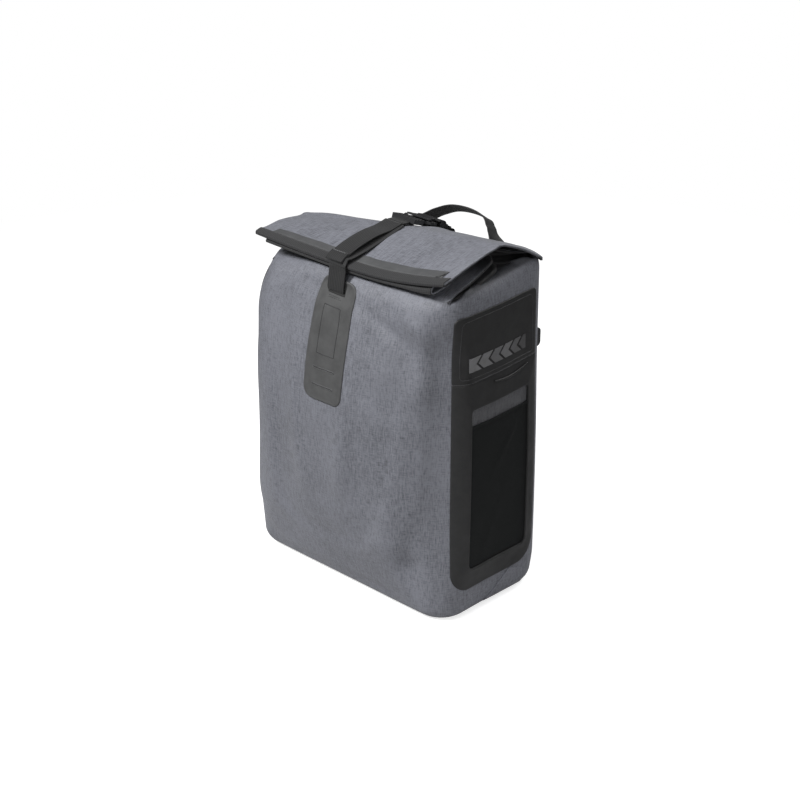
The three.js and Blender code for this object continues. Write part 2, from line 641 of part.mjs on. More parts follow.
// The latch has a pocket for the spring's coils.
function latchGeometry() {
  const outline = LATCH.map(([y, z]) => [PIN_Y + y, PIN_Z + z]);
  return cut(prismX(outline, -6, 6),
    rodX(PIN_HOLE_R, -10, 10, PIN_Y, PIN_Z, 12),
    rodX(4.1, -3.8, 3.8, PIN_Y, PIN_Z, 14));
}

// Two turns round the X axis.
class Coil extends THREE.Curve {
  getPoint(t, target = new THREE.Vector3()) {
    const angle = t * Math.PI * 4;
    return target.set(-3 + 6 * t, 2.9 * Math.cos(angle), 2.9 * Math.sin(angle));
  }
}

function springGeometry() {
  const wire = shapeOf(roundedRect(-0.35, 0.35, -0.35, 0.35, 0.34, 1));
  const options = { steps: 20, extrudePath: new Coil(), bevelEnabled: false };
  return new THREE.ExtrudeGeometry(wire, options).translate(0, PIN_Y, PIN_Z);
}

const clampScrew = () => join(
  rodY(2, RAIL_Y + 2, RAIL_Y + 13, 0, CLAMP_Z, 10),
  rodY(4, RAIL_Y + 12.8, RAIL_Y + 15.4, 0, CLAMP_Z, 12));

for (const [side, tag] of SIDES) {
  const hook = new THREE.Group();
  hook.position.x = side * HOOK_X;
  root.add(hook);
  add(`hook_${tag}`, hookGeometry(), PLASTIC, hook);
  add(`latch_${tag}`, latchGeometry(), PLASTIC, hook);
  add(`latch_pin_${tag}`, rodX(1.6, -10.6, 10.6, PIN_Y, PIN_Z, 12), STEEL, hook);
  add(`latch_spring_${tag}`, springGeometry(), STEEL, hook);
  add(`clamp_screw_${tag}`, clampScrew(), STEEL, hook);
}

// ------------------------------------------------------------------------- stabiliser
add('lower_rail', railGeometry(LOWER_RAIL), PLASTIC);
addScrews(LOWER_RAIL, 'lower_screw');

function stabiliserSlider() {
  const { z } = LOWER_RAIL;
  return cut(block(-13, 13, RAIL_Y + 0.8, RAIL_Y + 9.6, z - 12.6, z + 12.6),
    slidingSlot(LOWER_RAIL),
    rodY(3, RAIL_Y + 7.4, RAIL_Y + 12, 0, z, 12));
}

// The arm: an eye round the bolt, a flat arm, and a claw of a stem and a cross piece.
function stabiliserArm() {
  const { z } = LOWER_RAIL;
  const flat = [...arc(0, z, 10, 0, 180, 8), [-7, z - 44], [-4, z - 50], [8, z - 50], [9, z - 40]];
  const stem = [[-5.5, z - 50], [8, z - 50], [8.4, z - 45], [-6, z - 43]];
  const claw = [[-12, z - 54], [8, z - 50], [8.4, z - 45], [-8, z - 45]];
  const arm = join(
    prismY(flat, RAIL_Y + 10, RAIL_Y + 14.6),
    prismY(stem, RAIL_Y + 12, RAIL_Y + 30),
    prismY(claw, RAIL_Y + 26.5, RAIL_Y + 31));
  return cut(arm, rodY(3.4, RAIL_Y + 8, RAIL_Y + 17, 0, z, 14));
}

const stabiliserBolt = () => join(
  rodY(2.6, RAIL_Y + 7.7, RAIL_Y + 15, 0, LOWER_RAIL.z, 12),
  rodY(6.2, RAIL_Y + 14.95, RAIL_Y + 18.6, 0, LOWER_RAIL.z, 12));

add('stabiliser_slider', stabiliserSlider(), PLASTIC);
add('stabiliser_arm', stabiliserArm(), PLASTIC);
add('stabiliser_bolt', stabiliserBolt(), STEEL);

export default root;
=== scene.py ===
"""A roll-top bag of heather fabric with welded panels, side pockets, a closure strap and a handle.

The bag stands on z = 0 with its front towards -y, its back towards +y and its right side at +x.
Shapes are worked out in millimetres and become metres in mesh(). Lights, camera and shader lengths
are in metres. The body's wall has its own coordinates: s, the length round the plan from the middle
of the front (positive to the right), and z. Panels are drawn flat in (s, z) and laid on with on_body.
"""
import bmesh
import bpy
import json
import math
import numpy as np
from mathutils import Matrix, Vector, noise


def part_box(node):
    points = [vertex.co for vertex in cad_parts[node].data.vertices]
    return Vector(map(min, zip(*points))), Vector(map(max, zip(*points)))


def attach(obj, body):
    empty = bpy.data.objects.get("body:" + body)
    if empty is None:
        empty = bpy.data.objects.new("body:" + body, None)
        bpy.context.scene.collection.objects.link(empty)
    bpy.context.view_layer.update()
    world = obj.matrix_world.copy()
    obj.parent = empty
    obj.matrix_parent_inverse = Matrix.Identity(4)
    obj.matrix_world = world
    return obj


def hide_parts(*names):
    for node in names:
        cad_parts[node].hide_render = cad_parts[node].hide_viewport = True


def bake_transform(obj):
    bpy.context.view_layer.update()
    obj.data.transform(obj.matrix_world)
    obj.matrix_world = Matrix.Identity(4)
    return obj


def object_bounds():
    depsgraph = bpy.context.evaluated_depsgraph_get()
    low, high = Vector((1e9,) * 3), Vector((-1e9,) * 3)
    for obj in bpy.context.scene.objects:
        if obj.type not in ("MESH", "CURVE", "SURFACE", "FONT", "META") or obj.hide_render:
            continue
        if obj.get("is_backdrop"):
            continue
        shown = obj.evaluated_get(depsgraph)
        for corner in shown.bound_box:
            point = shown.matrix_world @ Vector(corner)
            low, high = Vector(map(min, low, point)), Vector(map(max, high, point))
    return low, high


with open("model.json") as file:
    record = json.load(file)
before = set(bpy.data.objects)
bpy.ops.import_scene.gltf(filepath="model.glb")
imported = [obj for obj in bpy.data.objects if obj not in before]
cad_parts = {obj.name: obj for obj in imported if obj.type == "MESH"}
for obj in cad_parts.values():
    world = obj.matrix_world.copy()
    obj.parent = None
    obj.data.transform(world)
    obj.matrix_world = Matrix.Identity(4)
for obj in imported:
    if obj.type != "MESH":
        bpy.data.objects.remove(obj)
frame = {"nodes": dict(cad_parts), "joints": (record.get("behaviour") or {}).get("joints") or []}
cad_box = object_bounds()
MM = 0.001

# ---------------------------------------------------------------- driving dimensions
JOINTS = {j["name"]: j for j in frame["joints"]}
HINGE = np.array(JOINTS["roll_open"]["pos_m"]) / MM
BACK_LO, BACK_HI = (np.array(v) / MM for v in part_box("back_panel"))

HALF_W, HALF_D, CORNER_R = 155.0, BACK_HI[1], 36.0
BACK_Y = HALF_D - 0.9
BOTTOM_R = 15.0                        # rounding between wall and base
FULLEST_Z, WALL_TOP = 215.0, 376.0

# stations of s along the right half of the plan
CORNER_ARC = CORNER_R * math.pi / 2
S_FRONT = HALF_W - CORNER_R                     # the flat front ends
S_SIDE = S_FRONT + CORNER_ARC                   # the side begins
S_SIDE_END = S_SIDE + 2 * (HALF_D - CORNER_R)
S_BACK = S_SIDE_END + CORNER_ARC                # the flat back begins
S_HALF = S_BACK + S_FRONT                       # middle of the back
S_FRONT_CORNER = S_FRONT + CORNER_ARC / 2
S_BACK_CORNER = S_SIDE_END + CORNER_ARC / 2
S_SIDE_MID = (S_SIDE + S_SIDE_END) / 2


def ease(a, b, x):
    t = np.clip((np.asarray(x, float) - a) / (b - a), 0, 1)
    return t * t * (3 - 2 * t)


# ---------------------------------------------------------------- the body's soft surface
def outline(s):
    """Point and outward normal (x, y, nx, ny) of the body's plan at s."""
    s = np.asarray(s, float)
    a, sign = np.abs(s), np.where(s < 0, -1.0, 1.0)
    t1 = np.clip((a - S_FRONT) / CORNER_R, 0, math.pi / 2)
    t2 = np.clip((a - S_SIDE_END) / CORNER_R, 0, math.pi / 2)
    x = np.where(a <= S_FRONT, a, S_FRONT + CORNER_R * np.sin(t1))
    y = np.where(a <= S_FRONT, -HALF_D, -HALF_D + CORNER_R - CORNER_R * np.cos(t1))
    nx, ny = np.sin(t1), -np.cos(t1)
    side = (a > S_SIDE) & (a <= S_SIDE_END)
    x = np.where(side, HALF_W, x)
    y = np.where(side, -HALF_D + CORNER_R + (a - S_SIDE), y)
    rear = a > S_SIDE_END
    x = np.where(rear, S_FRONT + CORNER_R * np.cos(t2), x)
    y = np.where(rear, BACK_Y - CORNER_R + CORNER_R * np.sin(t2), y)
    nx, ny = np.where(rear, np.cos(t2), nx), np.where(rear, np.sin(t2), ny)
    x = np.where(a > S_BACK, S_FRONT - (a - S_BACK), x)
    return sign * x, y, sign * nx, ny


# swellings (+) and dents (-) of the front: centre x, centre z, radius x, radius z, height, tilt
LUMPS = (
    (-80, 120, 60, 80, 3.0, 0), (95, 90, 50, 70, 2.6, 0), (-60, 330, 60, 26, -3.2, 0.5),
    (84, 346, 46, 12, -4.8, -0.5), (124, 322, 13, 52, 5.0, 0.12), (58, 366, 34, 10, 4.2, -0.3),
    (104, 366, 26, 9, 3.6, -0.6), (92, 300, 50, 16, 3.4, -0.35), (70, 268, 60, 14, -1.8, -0.25),
    (60, 130, 14, 60, -1.4, 0.25), (-30, 170, 16, 70, 1.2, -0.2), (20, 110, 60, 12, 1.3, 0.3),
    (112, 210, 16, 60, -2.2, 0.05), (-100, 372, 30, 9, -2.4, 0.5), (-118, 250, 18, 60, 1.8, 0),
    (-112, 60, 26, 40, 2.0, 0.4), (110, 66, 13, 18, -3.4, 0.3), (40, 205, 90, 16, -1.2, 0.15),
    (-20, 60, 120, 14, -1.4, 0.05),
)


def lump(x, z, cx, cz, rx, rz, height, tilt):
    c, s = math.cos(tilt), math.sin(tilt)
    u, v = (x - cx) * c + (z - cz) * s, -(x - cx) * s + (z - cz) * c
    return height * np.exp(-(u / rx) ** 2 - (v / rz) ** 2)


def body(s, z):
    """The outer fabric surface before sagging."""
    s, z = np.broadcast_arrays(np.asarray(s, float), np.asarray(z, float))
    x, y, nx, ny = outline(s)
    # the front bulges most at FULLEST_Z, the sides a little at half height
    below, above = FULLEST_Z, WALL_TOP - FULLEST_Z
    t = np.where(z < FULLEST_Z, (z - FULLEST_Z) / below, (z - FULLEST_Z) / above)
    bulge = (38.0 - 33.0 * np.minimum(1, t * t)) * (0.14 + 0.86 * ease(0, 90, z))
    u = np.minimum(1, np.abs(x) / HALF_W)
    front = bulge * np.maximum(0, 1 - u * u) ** 1.2 * np.maximum(0, -ny)
    front = np.where(y < 0, front, 0)
    side = np.sin(np.pi * np.minimum(390, z) / 390) * np.maximum(0, 1 - (y / HALF_D) ** 2)
    side = 4.0 * side * np.abs(nx)
    # the wall rounds in towards the base
    low = np.clip(BOTTOM_R - z, 0, BOTTOM_R)
    inset = BOTTOM_R - np.sqrt(BOTTOM_R ** 2 - low * low)
    # the back corners are stiffer and squarer
    from_corner = np.abs(s) - S_SIDE_END - CORNER_ARC / 2
    inset = inset - 3.4 * np.exp(-(from_corner / 17) ** 2) * ease(0, 40, z)
    px = x - inset * nx + np.sign(nx) * side
    py = y - front - inset * ny
    # a full bag: soft swellings and dents, none on the board-stiffened back
    swell = 0
    for spot in LUMPS:
        swell = swell + lump(x, z, *spot)
    # the front falls away towards its right edge
    swell = swell - 13 * ease(68, 154, x) * ease(20, 130, z) * ease(372, 320, z)
    swell = swell * ease(60, -30, y) * np.maximum(0, -ny)
    px, py = px + swell * nx, py + swell * ny
    # the left side swells low down, the right leans a little
    swollen = 1 + 0.036 * np.exp(-((z - 75) / 60) ** 2) * ease(70, 20, y)
    px = np.where(px < 0, px * swollen, px)
    lean = 1.6 * ease(230, 60, z) - 2.6 * ease(190, 300, z)
    px = np.where(px > 100, px + lean * np.maximum(0, nx) * ease(-10, 60, y), px)
    # the left shoulder slumps inwards
    k = np.clip((z - 300) / 85, 0, 1)
    px = np.where(px < 0, px * (1 - 0.30 * k * k * ease(80, 10, y)), px)
    return np.stack([px, py, z.astype(float)], -1)


SAG = {}    # the simulated folds, filled by simulate_sag: offsets "grid", steps "ds", "dz", start "z0"


def displaced(s, z):
    """The body's surface with the simulated folds added, read bilinearly from their grid."""
    p = body(s, z)
    if not SAG:
        return p
    grid = SAG["grid"]
    i = np.mod((np.asarray(s, float) - -S_HALF) / SAG["ds"], grid.shape[0])
    j = np.clip((np.asarray(z, float) - SAG["z0"]) / SAG["dz"], 0, grid.shape[1] - 1.001)
    i0, j0 = np.floor(i).astype(int), np.floor(j).astype(int)
    fi, fj = (i - i0)[..., None], (j - j0)[..., None]
    i1 = (i0 + 1) % grid.shape[0]
    i0 = i0 % grid.shape[0]
    low = grid[i0, j0] * (1 - fi) + grid[i1, j0] * fi
    high = grid[i0, j0 + 1] * (1 - fi) + grid[i1, j0 + 1] * fi
    return p + low * (1 - fj) + high * fj


def on_body(s, z, off=0.0):
    """Points at height off above the wall."""
    s, z, off = np.broadcast_arrays(*(np.asarray(v, float) for v in (s, z, off)))
    p = displaced(s, z)
    a = displaced(s + 1.5, z) - displaced(s - 1.5, z)
    b = displaced(s, z + 1.5) - displaced(s, z - 1.5)
    n = np.cross(a, b)
    n /= np.maximum(1e-9, np.linalg.norm(n, axis=-1, keepdims=True))
    return p + n * off[..., None]


# ---------------------------------------------------------------- mesh helpers
def mesh(name, points, faces, uvs=None, material=None, smooth=True):
    """An object from points in millimetres; uvs are in metres, one per point."""
    me = bpy.data.meshes.new(name)
    me.from_pydata([tuple(v) for v in np.asarray(points) * MM], [],
                   [tuple(map(int, f)) for f in faces])
    if uvs is not None:
        layer = me.uv_layers.new(name="cloth")
        index = np.zeros(len(me.loops), np.int32)
        me.loops.foreach_get("vertex_index", index)
        layer.data.foreach_set("uv", np.asarray(uvs, np.float32)[index].ravel())
    me.polygons.foreach_set("use_smooth", [smooth] * len(me.polygons))
    me.update()
    obj = bpy.data.objects.new(name, me)
    bpy.context.scene.collection.objects.link(obj)
    if material:
        me.materials.append(material)
    return obj


def face_outwards(obj):
    bm = bmesh.new()
    bm.from_mesh(obj.data)
    bmesh.ops.recalc_face_normals(bm, faces=bm.faces)
    bm.to_mesh(obj.data)
    bm.free()
    return obj


def enlist(obj, body_name="bag", replaces=()):
    if body_name:
        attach(obj, body_name)
    if replaces:
        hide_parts(*replaces)


def lengths(points):
    """Running length along a line of points."""
    steps = np.linalg.norm(np.diff(points, axis=0), axis=1)
    return np.concatenate([[0], np.cumsum(steps)])


def subdivide(points, steps, closed=True):
    """Points along straight pieces, steps to each; an open line leaves out its last point."""
    points = np.array(points)
    count = len(points) if closed else len(points) - 1
    following = np.roll(points, -1, 0)
    return np.concatenate([[points[i] + (following[i] - points[i]) * q / steps
                            for q in range(steps)] for i in range(count)])


def vertex_normals(grid, wrap=False):
    a = np.roll(grid, -1, 0) - np.roll(grid, 1, 0) if wrap else np.gradient(grid, axis=0)
    n = np.cross(a, np.gradient(grid, axis=1))
    return n / np.maximum(1e-9, np.linalg.norm(n, axis=-1, keepdims=True))


def sheet(name, grid, thick, material, uv=None, wrap=False, flip=False, shade=None, outward=True):
    """A closed sheet: grid (nu, nv, 3) is its outer face, thick lies behind it.
    shade is painted shade for each point: 1 unshaded, 0 black deep in the folds."""
    n = vertex_normals(grid, wrap) * (-1 if flip else 1)
    nu, nv = grid.shape[:2]
    points = np.concatenate([grid.reshape(-1, 3), (grid - n * thick).reshape(-1, 3)])
    if uv is None:
        along_u, along_v = lengths(grid[:, nv // 2]), lengths(grid[nu // 2])
        uv = np.stack(np.meshgrid(along_u, along_v, indexing="ij"), -1)
    uvs = np.concatenate([uv.reshape(-1, 2), uv.reshape(-1, 2)]) * MM
    count = nu * nv
    faces = []
    for i in range(nu if wrap else nu - 1):
        i1 = (i + 1) % nu
        for j in range(nv - 1):
            a, b, c, d = i * nv + j, i1 * nv + j, i1 * nv + j + 1, i * nv + j + 1
            outer, inner = (a, b, c, d), (a, d, c, b)
            if flip:
                outer, inner = inner, outer
            faces += [outer, tuple(count + k for k in inner)]
        for j in (0, nv - 1):
            a, b = i * nv + j, i1 * nv + j
            turned = (j == 0) != flip
            faces.append((a, count + a, count + b, b) if turned else (a, b, count + b, count + a))
    if not wrap:
        for j in range(nv - 1):
            for i in (0, nu - 1):
                a, b = i * nv + j, i * nv + j + 1
                turned = (i == 0) != flip
                faces.append((a, b, count + b, count + a) if turned
                             else (a, count + a, count + b, b))
    obj = mesh(name, points, faces, uvs, material)
    if shade is not None:
        attribute = obj.data.attributes.new("shade", "FLOAT", "POINT")
        attribute.data.foreach_set("value", np.asarray(shade, np.float32).ravel())
    return face_outwards(obj) if outward else obj


def catmull(points, count):
    """count points along a Catmull-Rom spline through points."""
    p = np.asarray(points, float)
    p = np.concatenate([[2 * p[0] - p[1]], p, [2 * p[-1] - p[-2]]])
    t = np.linspace(0, len(p) - 3 - 1e-6, count)
    k = t.astype(int)
    u = (t - k)[:, None]
    a, b, c, d = p[k], p[k + 1], p[k + 2], p[k + 3]
    return 0.5 * (2 * b + (c - a) * u + (2 * a - 5 * b + 4 * c - d) * u * u
                  + (3 * b - a - 3 * c + d) * u ** 3)


def ribbon(name, centre, across, half, thick, material):
    """A strap with rounded edges swept along centre; across is the direction of its width."""
    edge_steps = 3
    c = np.asarray(centre, float)
    side = np.broadcast_to(np.asarray(across, float), c.shape)
    t = np.gradient(c, axis=0)
    t /= np.linalg.norm(t, axis=1, keepdims=True)
    side = side - t * (side * t).sum(1, keepdims=True)
    side /= np.linalg.norm(side, axis=1, keepdims=True)
    normal = np.cross(side, t)
    flat = half - thick / 2
    profile = []
    for sign, start in ((1, -90), (-1, 90)):
        for k in range(edge_steps + 1):
            a = math.radians(start + 180 * k / edge_steps)
            profile.append((sign * flat + math.cos(a) * thick / 2, math.sin(a) * thick / 2))
        profile += [(sign * w * flat, sign * thick / 2) for w in (0.6, 0.2, -0.2, -0.6)]
    profile = np.array(profile)
    m, last = len(profile), len(c) - 1
    points = (c[:, None] + side[:, None] * profile[None, :, :1]
              + normal[:, None] * profile[None, :, 1:])
    shape = points.shape[:2]
    uv = np.stack([np.broadcast_to(profile[None, :, 0], shape),
                   np.broadcast_to(lengths(c)[:, None], shape)], -1) * MM
    faces = []
    for i in range(last):
        for k in range(m):
            k1 = (k + 1) % m
            faces.append((i * m + k, i * m + k1, (i + 1) * m + k1, (i + 1) * m + k))
    faces.append(tuple(range(m))[::-1])
    faces.append(tuple(last * m + k for k in range(m)))
    return face_outwards(mesh(name, points.reshape(-1, 3), faces, uv.reshape(-1, 2), material))


def rounded(a0, a1, b0, b1, r, arc_steps=9, side_steps=24):
    """A rounded rectangle's outline with a fixed point count.
    r is one radius or four: upper right, upper left, lower left, lower right."""
    radii = r if isinstance(r, tuple) else (r,) * 4
    limit = min((a1 - a0) / 2 - 0.01, (b1 - b0) / 2 - 0.01)
    r0, r1, r2, r3 = (max(0.05, min(q, limit)) for q in radii)
    corners = [(a1 - r0, b1 - r0, 0, r0), (a0 + r1, b1 - r1, 90, r1),
               (a0 + r2, b0 + r2, 180, r2), (a1 - r3, b0 + r3, 270, r3)]

    def corner_point(corner, turn):
        ca, cb, start, radius = corner
        angle = math.radians(start + turn)
        return ca + radius * math.cos(angle), cb + radius * math.sin(angle)

    points = []
    for k, corner in enumerate(corners):
        points += [corner_point(corner, 90 * i / arc_steps) for i in range(arc_steps + 1)]
        a, b = points[-1]
        end_a, end_b = corner_point(corners[(k + 1) % 4], 0)
        points += [(a + (end_a - a) * i / side_steps, b + (end_b - b) * i / side_steps)
                   for i in range(1, side_steps)]
    return np.array(points)


def inset_rings(a0, a1, b0, b1, r, steps, profile, shrink=0.0):
    """Rounded rectangles for plate(): profile holds (inset, height) pairs, outermost first;
    the corner radius falls by shrink for each millimetre of inset."""
    return [(rounded(a0 + d, a1 - d, b0 + d, b1 - d, r - shrink * d, *steps), h)
            for d, h in profile]


def plate(name, rings, material, place, base, close=True):
    """A welded sheet of concentric outlines. rings: [(points (N, 2), height)], outermost first;
    place(a, b, height) maps to space and base is the underside's height. With close, the last
    ring is filled across to its middle; otherwise its edge goes down to the base."""
    outer, (inner, height) = rings[0][0], rings[-1]
    n = len(outer)
    upper = [(outer, base)] + rings
    if close:
        centre = inner.mean(0)
        upper += [(centre + (inner - centre) * k, height) for k in np.linspace(0.92, 0.06, 12)]
    else:
        upper.append((inner, base))
    last = upper[-1][0]
    steps = 10
    lower = [(outer + (last - outer) * q / steps, base)
             for q in range(1, steps + 1 if close else steps)]
    every = upper + lower
    points = [place(p[:, 0], p[:, 1], np.full(n, h)) for p, h in every]
    faces = []
    for k in range(len(upper) - 1):
        for i in range(n):
            i1 = (i + 1) % n
            faces.append((k * n + i, k * n + i1, (k + 1) * n + i1, (k + 1) * n + i))
    # the underside runs from the outermost ring inwards
    order = [0] + list(range(len(upper), len(every)))
    if not close:
        order.append(len(upper) - 1)
    for k, k1 in zip(order, order[1:]):
        for i in range(n):
            i1 = (i + 1) % n
            faces.append((k * n + i, k1 * n + i, k1 * n + i1, k * n + i1))
    if close:
        faces.append(tuple((len(upper) - 1) * n + i for i in range(n)))
        faces.append(tuple(order[-1] * n + i for i in range(n))[::-1])
    uvs = np.concatenate([p for p, _ in every]) * MM
    return face_outwards(mesh(name, np.concatenate(points), faces, uvs, material))


def frame_ring(name, box, radii, width, height, base, steps, material, place):
    """A raised line round a rounded rectangle."""
    a0, a1, b0, b1 = box
    rings = []
    for d, h in ((0, base), (width * 0.3, base + height), (width * 0.7, base + height),
                 (width, base)):
        r = tuple(max(0.3, q - d) for q in radii)
        rings.append((rounded(a0 + d, a1 - d, b0 + d, b1 - d, r, *steps), h))
    enlist(plate(name, rings, material, place, base - 0.3, close=False))


def stitches(name, line, up, material, length, radius, body_name="bag"):
    """A row of stitches: short rounded threads along a line, each half sunk."""
    gap, sides = 1.0, 6
    stations = ((0, 0.35), (0.2, 0.9), (0.5, 1.0), (0.8, 0.9), (1, 0.35))  # share of length, swell
    line = np.asarray(line, float)
    run = lengths(line)

    def at(distance):
        return np.array([np.interp(distance, run, line[:, k]) for k in range(3)])

    points, faces = [], []
    for i in range(max(1, int(run[-1] // (length + gap)))):
        start = i * (length + gap) + gap / 2
        a, b = at(start), at(start + length)
        d = (b - a) / max(1e-6, np.linalg.norm(b - a))
        side = np.cross(d, up)
        side /= np.linalg.norm(side)
        normal = np.cross(side, d)
        first = len(points)
        for t, swell in stations:
            c = a + (b - a) * t + normal * (0.5 * swell * radius)
            for k in range(sides):
                w = 2 * math.pi * k / sides
                points.append(c + (side * math.cos(w) + normal * math.sin(w)) * radius * swell)
        for j in range(len(stations) - 1):
            low, high = first + j * sides, first + (j + 1) * sides
            for k in range(sides):
                k1 = (k + 1) % sides
                faces.append((low + k, low + k1, high + k1, high + k))
        faces.append(tuple(first + k for k in range(sides))[::-1])
        faces.append(tuple(first + 24 + k for k in range(sides)))
    points = np.array(points)
    obj = face_outwards(mesh(name, points, faces, points[:, :2] * MM, material))
    enlist(obj, body_name)


# ---------------------------------------------------------------- materials
def triple(v):
    return v if isinstance(v, tuple) else (v,) * 3


def tint(colour, factor):
    return tuple(min(1, v * factor) for v in colour)


class Nodes:
    """Short ways to add nodes to a tree. space is the texture coordinate used: UV or Object."""

    def __init__(self, tree, space="UV"):
        self.tree, self.space = tree, space

    def feed(self, node, inputs):
        for key, value in inputs.items():
            if isinstance(value, bpy.types.NodeSocket):
                self.tree.links.new(value, node.inputs[key])
            else:
                node.inputs[key].default_value = value

    def add(self, kind, inputs=None, **settings):
        node = self.tree.nodes.new("ShaderNode" + kind)
        for key, value in settings.items():
            setattr(node, key, value)
        self.feed(node, inputs or {})
        return node

    def coords(self, scale=1, turn=0.0):
        source = self.add("TexCoord").outputs[self.space]
        return self.add("Mapping", {"Vector": source, "Scale": triple(scale),
                                    "Rotation": (0, 0, turn)}).outputs[0]

    def noise(self, scale, detail=2.0, roughness=0.5):
        return self.add("TexNoise", {"Vector": self.coords(scale), "Scale": 1.0, "Detail": detail,
                                     "Roughness": roughness}).outputs[0]

    def wave(self, direction, scale, distortion, turn=0.0, **more):
        inputs = {"Vector": self.coords(turn=turn), "Scale": scale, "Distortion": distortion}
        return self.add("TexWave", {**inputs, **more}, bands_direction=direction).outputs["Fac"]

    def cells(self, scale):
        inputs = {"Vector": self.coords(), "Scale": scale}
        return self.add("TexVoronoi", inputs).outputs["Distance"]

    def ramp(self, fac, first, second, low=0.0, high=1.0):
        node = self.add("ValToRGB", {"Fac": fac})
        stops = node.color_ramp.elements
        stops[0].position, stops[0].color = low, (*triple(first), 1)
        stops[1].position, stops[1].color = high, (*triple(second), 1)
        return node.outputs[0]

    def math(self, operation, a, b):
        return self.add("Math", {0: a, 1: b}, operation=operation).outputs[0]

    def weighted(self, *pairs):
        """The sum of value * weight over the pairs."""
        total = self.math("MULTIPLY", *pairs[0])
        for pair in pairs[1:]:
            total = self.math("ADD", total, self.math("MULTIPLY", *pair))
        return total

    def bump(self, height, strength, distance, normal=None):
        inputs = {"Height": height, "Strength": strength, "Distance": distance}
        if normal is not None:
            inputs["Normal"] = normal
        return self.add("Bump", inputs).outputs[0]


class Surface(Nodes):
    """A new material with one principled shader."""

    def __init__(self, name, space="UV"):
        self.material = bpy.data.materials.new(name)
        self.material.use_nodes = True
        super().__init__(self.material.node_tree, space)
        self.tree.nodes.clear()
        output = self.add("OutputMaterial")
        self.shader = self.add("BsdfPrincipled")
        self.feed(output, {0: self.shader.outputs[0]})

    def finish(self, inputs):
        self.feed(self.shader, inputs)
        return self.material


def heather(name, dark=(0.022, 0.023, 0.028), light=(0.150, 0.155, 0.178), shaded=False):
    """Two-tone yarn: long slubs along the warp, short ones across, a fine plain weave and a
    faint sheen. shaded paints shade into it: the shade attribute darkens it towards black."""
    n = Surface(name)
    warp = n.noise((1050, 130, 130), detail=3.0, roughness=0.65)
    slubs = n.noise((560, 55, 55), roughness=0.6)
    weft = n.noise((120, 950, 950), roughness=0.6)
    blotches = n.noise((14, 8, 8))
    yarn = n.weighted((warp, 0.42), (slubs, 0.26), (weft, 0.32), (blotches, 0.17))
    colour = n.ramp(yarn, dark, light, low=0.37, high=0.63)
    if shaded:
        # painted shade: the colour is mixed towards near-black where shade is low
        shade = n.add("Attribute", attribute_name="shade").outputs["Fac"]
        deep = (0.004, 0.004, 0.0045, 1)
        colour = n.add("MixRGB", {0: shade, 1: deep, 2: colour}).outputs[0]
    across = n.wave("X", scale=420.0, distortion=0.4)
    along = n.wave("Y", scale=420.0, distortion=0.4)
    weave = n.math("MULTIPLY", across, along)
    fine = n.bump(n.math("ADD", weave, warp), strength=0.35, distance=0.0004)
    creases = n.noise((28, 16, 20), detail=3.0)
    return n.finish({
        "Base Color": colour, "Roughness": 0.57, "Sheen Weight": 0.06, "Sheen Roughness": 0.4,
        "Specular IOR Level": 0.45,
        "Normal": n.bump(creases, strength=0.35, distance=0.0035, normal=fine)})


def welded(name, colour, roughness):
    """Smooth welded sheet with a fine leathery grain and slight handling marks."""
    n = Surface(name)
    tone = n.noise(60, detail=4.0, roughness=0.6)
    base = n.ramp(tone, tint(colour, 0.86), tint(colour, 1.16), low=0.3, high=0.7)
    marks = n.noise(35, detail=3.0, roughness=0.6)
    rough = n.ramp(marks, roughness - 0.08, roughness + 0.1, low=0.3, high=0.7)
    return n.finish({
        "Base Color": base, "Roughness": rough, "Specular IOR Level": 0.28,
        "Normal": n.bump(n.cells(1500.0), strength=0.12, distance=0.0003)})


def webbing(name, colour):
    """Ribbed nylon: ribs along the strap, cross picks and fuzz."""
    n = Surface(name)
    ribs = n.wave("X", scale=125.0, distortion=0.5, Detail=1.0)
    picks = n.wave("Y", scale=230.0, distortion=0.8, Detail=1.0)
    fuzz = n.noise(900)
    height = n.weighted((ribs, 0.5), (picks, 0.35))
    tone = n.weighted((height, 0.7), (fuzz, 0.35))
    return n.finish({
        "Base Color": n.ramp(tone, tint(colour, 0.6), tint(colour, 1.7), low=0.2, high=0.95),
        "Roughness": 0.68, "Sheen Weight": 0.05, "Specular IOR Level": 0.2,
        "Normal": n.bump(height, strength=0.6, distance=0.0005)})


def mesh_cloth(name):
    """Stretch mesh: two crossing sets of diagonal threads."""
    n = Surface(name)
    one, other = (n.wave("X", scale=260.0, distortion=0.3, turn=turn) for turn in (0.62, -0.62))
    net = n.math("MULTIPLY", one, other)
    return n.finish({
        "Base Color": n.ramp(net, (0.0055, 0.006, 0.006), (0.022, 0.024, 0.0245), high=0.9),
        "Roughness": 0.82, "Specular IOR Level": 0.12,
        "Normal": n.bump(net, strength=0.5, distance=0.0004)})


def plastic(name, colour, roughness):
    """Moulded plastic with softened, slightly polished edges."""
    n = Surface(name, "Object")
    tone = n.noise(70, detail=3.0)
    base = n.ramp(tone, tint(colour, 0.8), tint(colour, 1.5), low=0.3, high=0.8)
    edge = n.add("Bevel", {"Radius": 0.0008}, samples=4).outputs[0]
    pointed = n.math("MULTIPLY", n.add("NewGeometry").outputs["Pointiness"], 1.0)
    rough = n.ramp(pointed, roughness + 0.12, roughness - 0.08, low=0.45, high=0.56)
    return n.finish({
        "Base Color": base, "Roughness": rough,
        "Normal": n.bump(n.noise(1800), strength=0.12, distance=0.0002, normal=edge)})


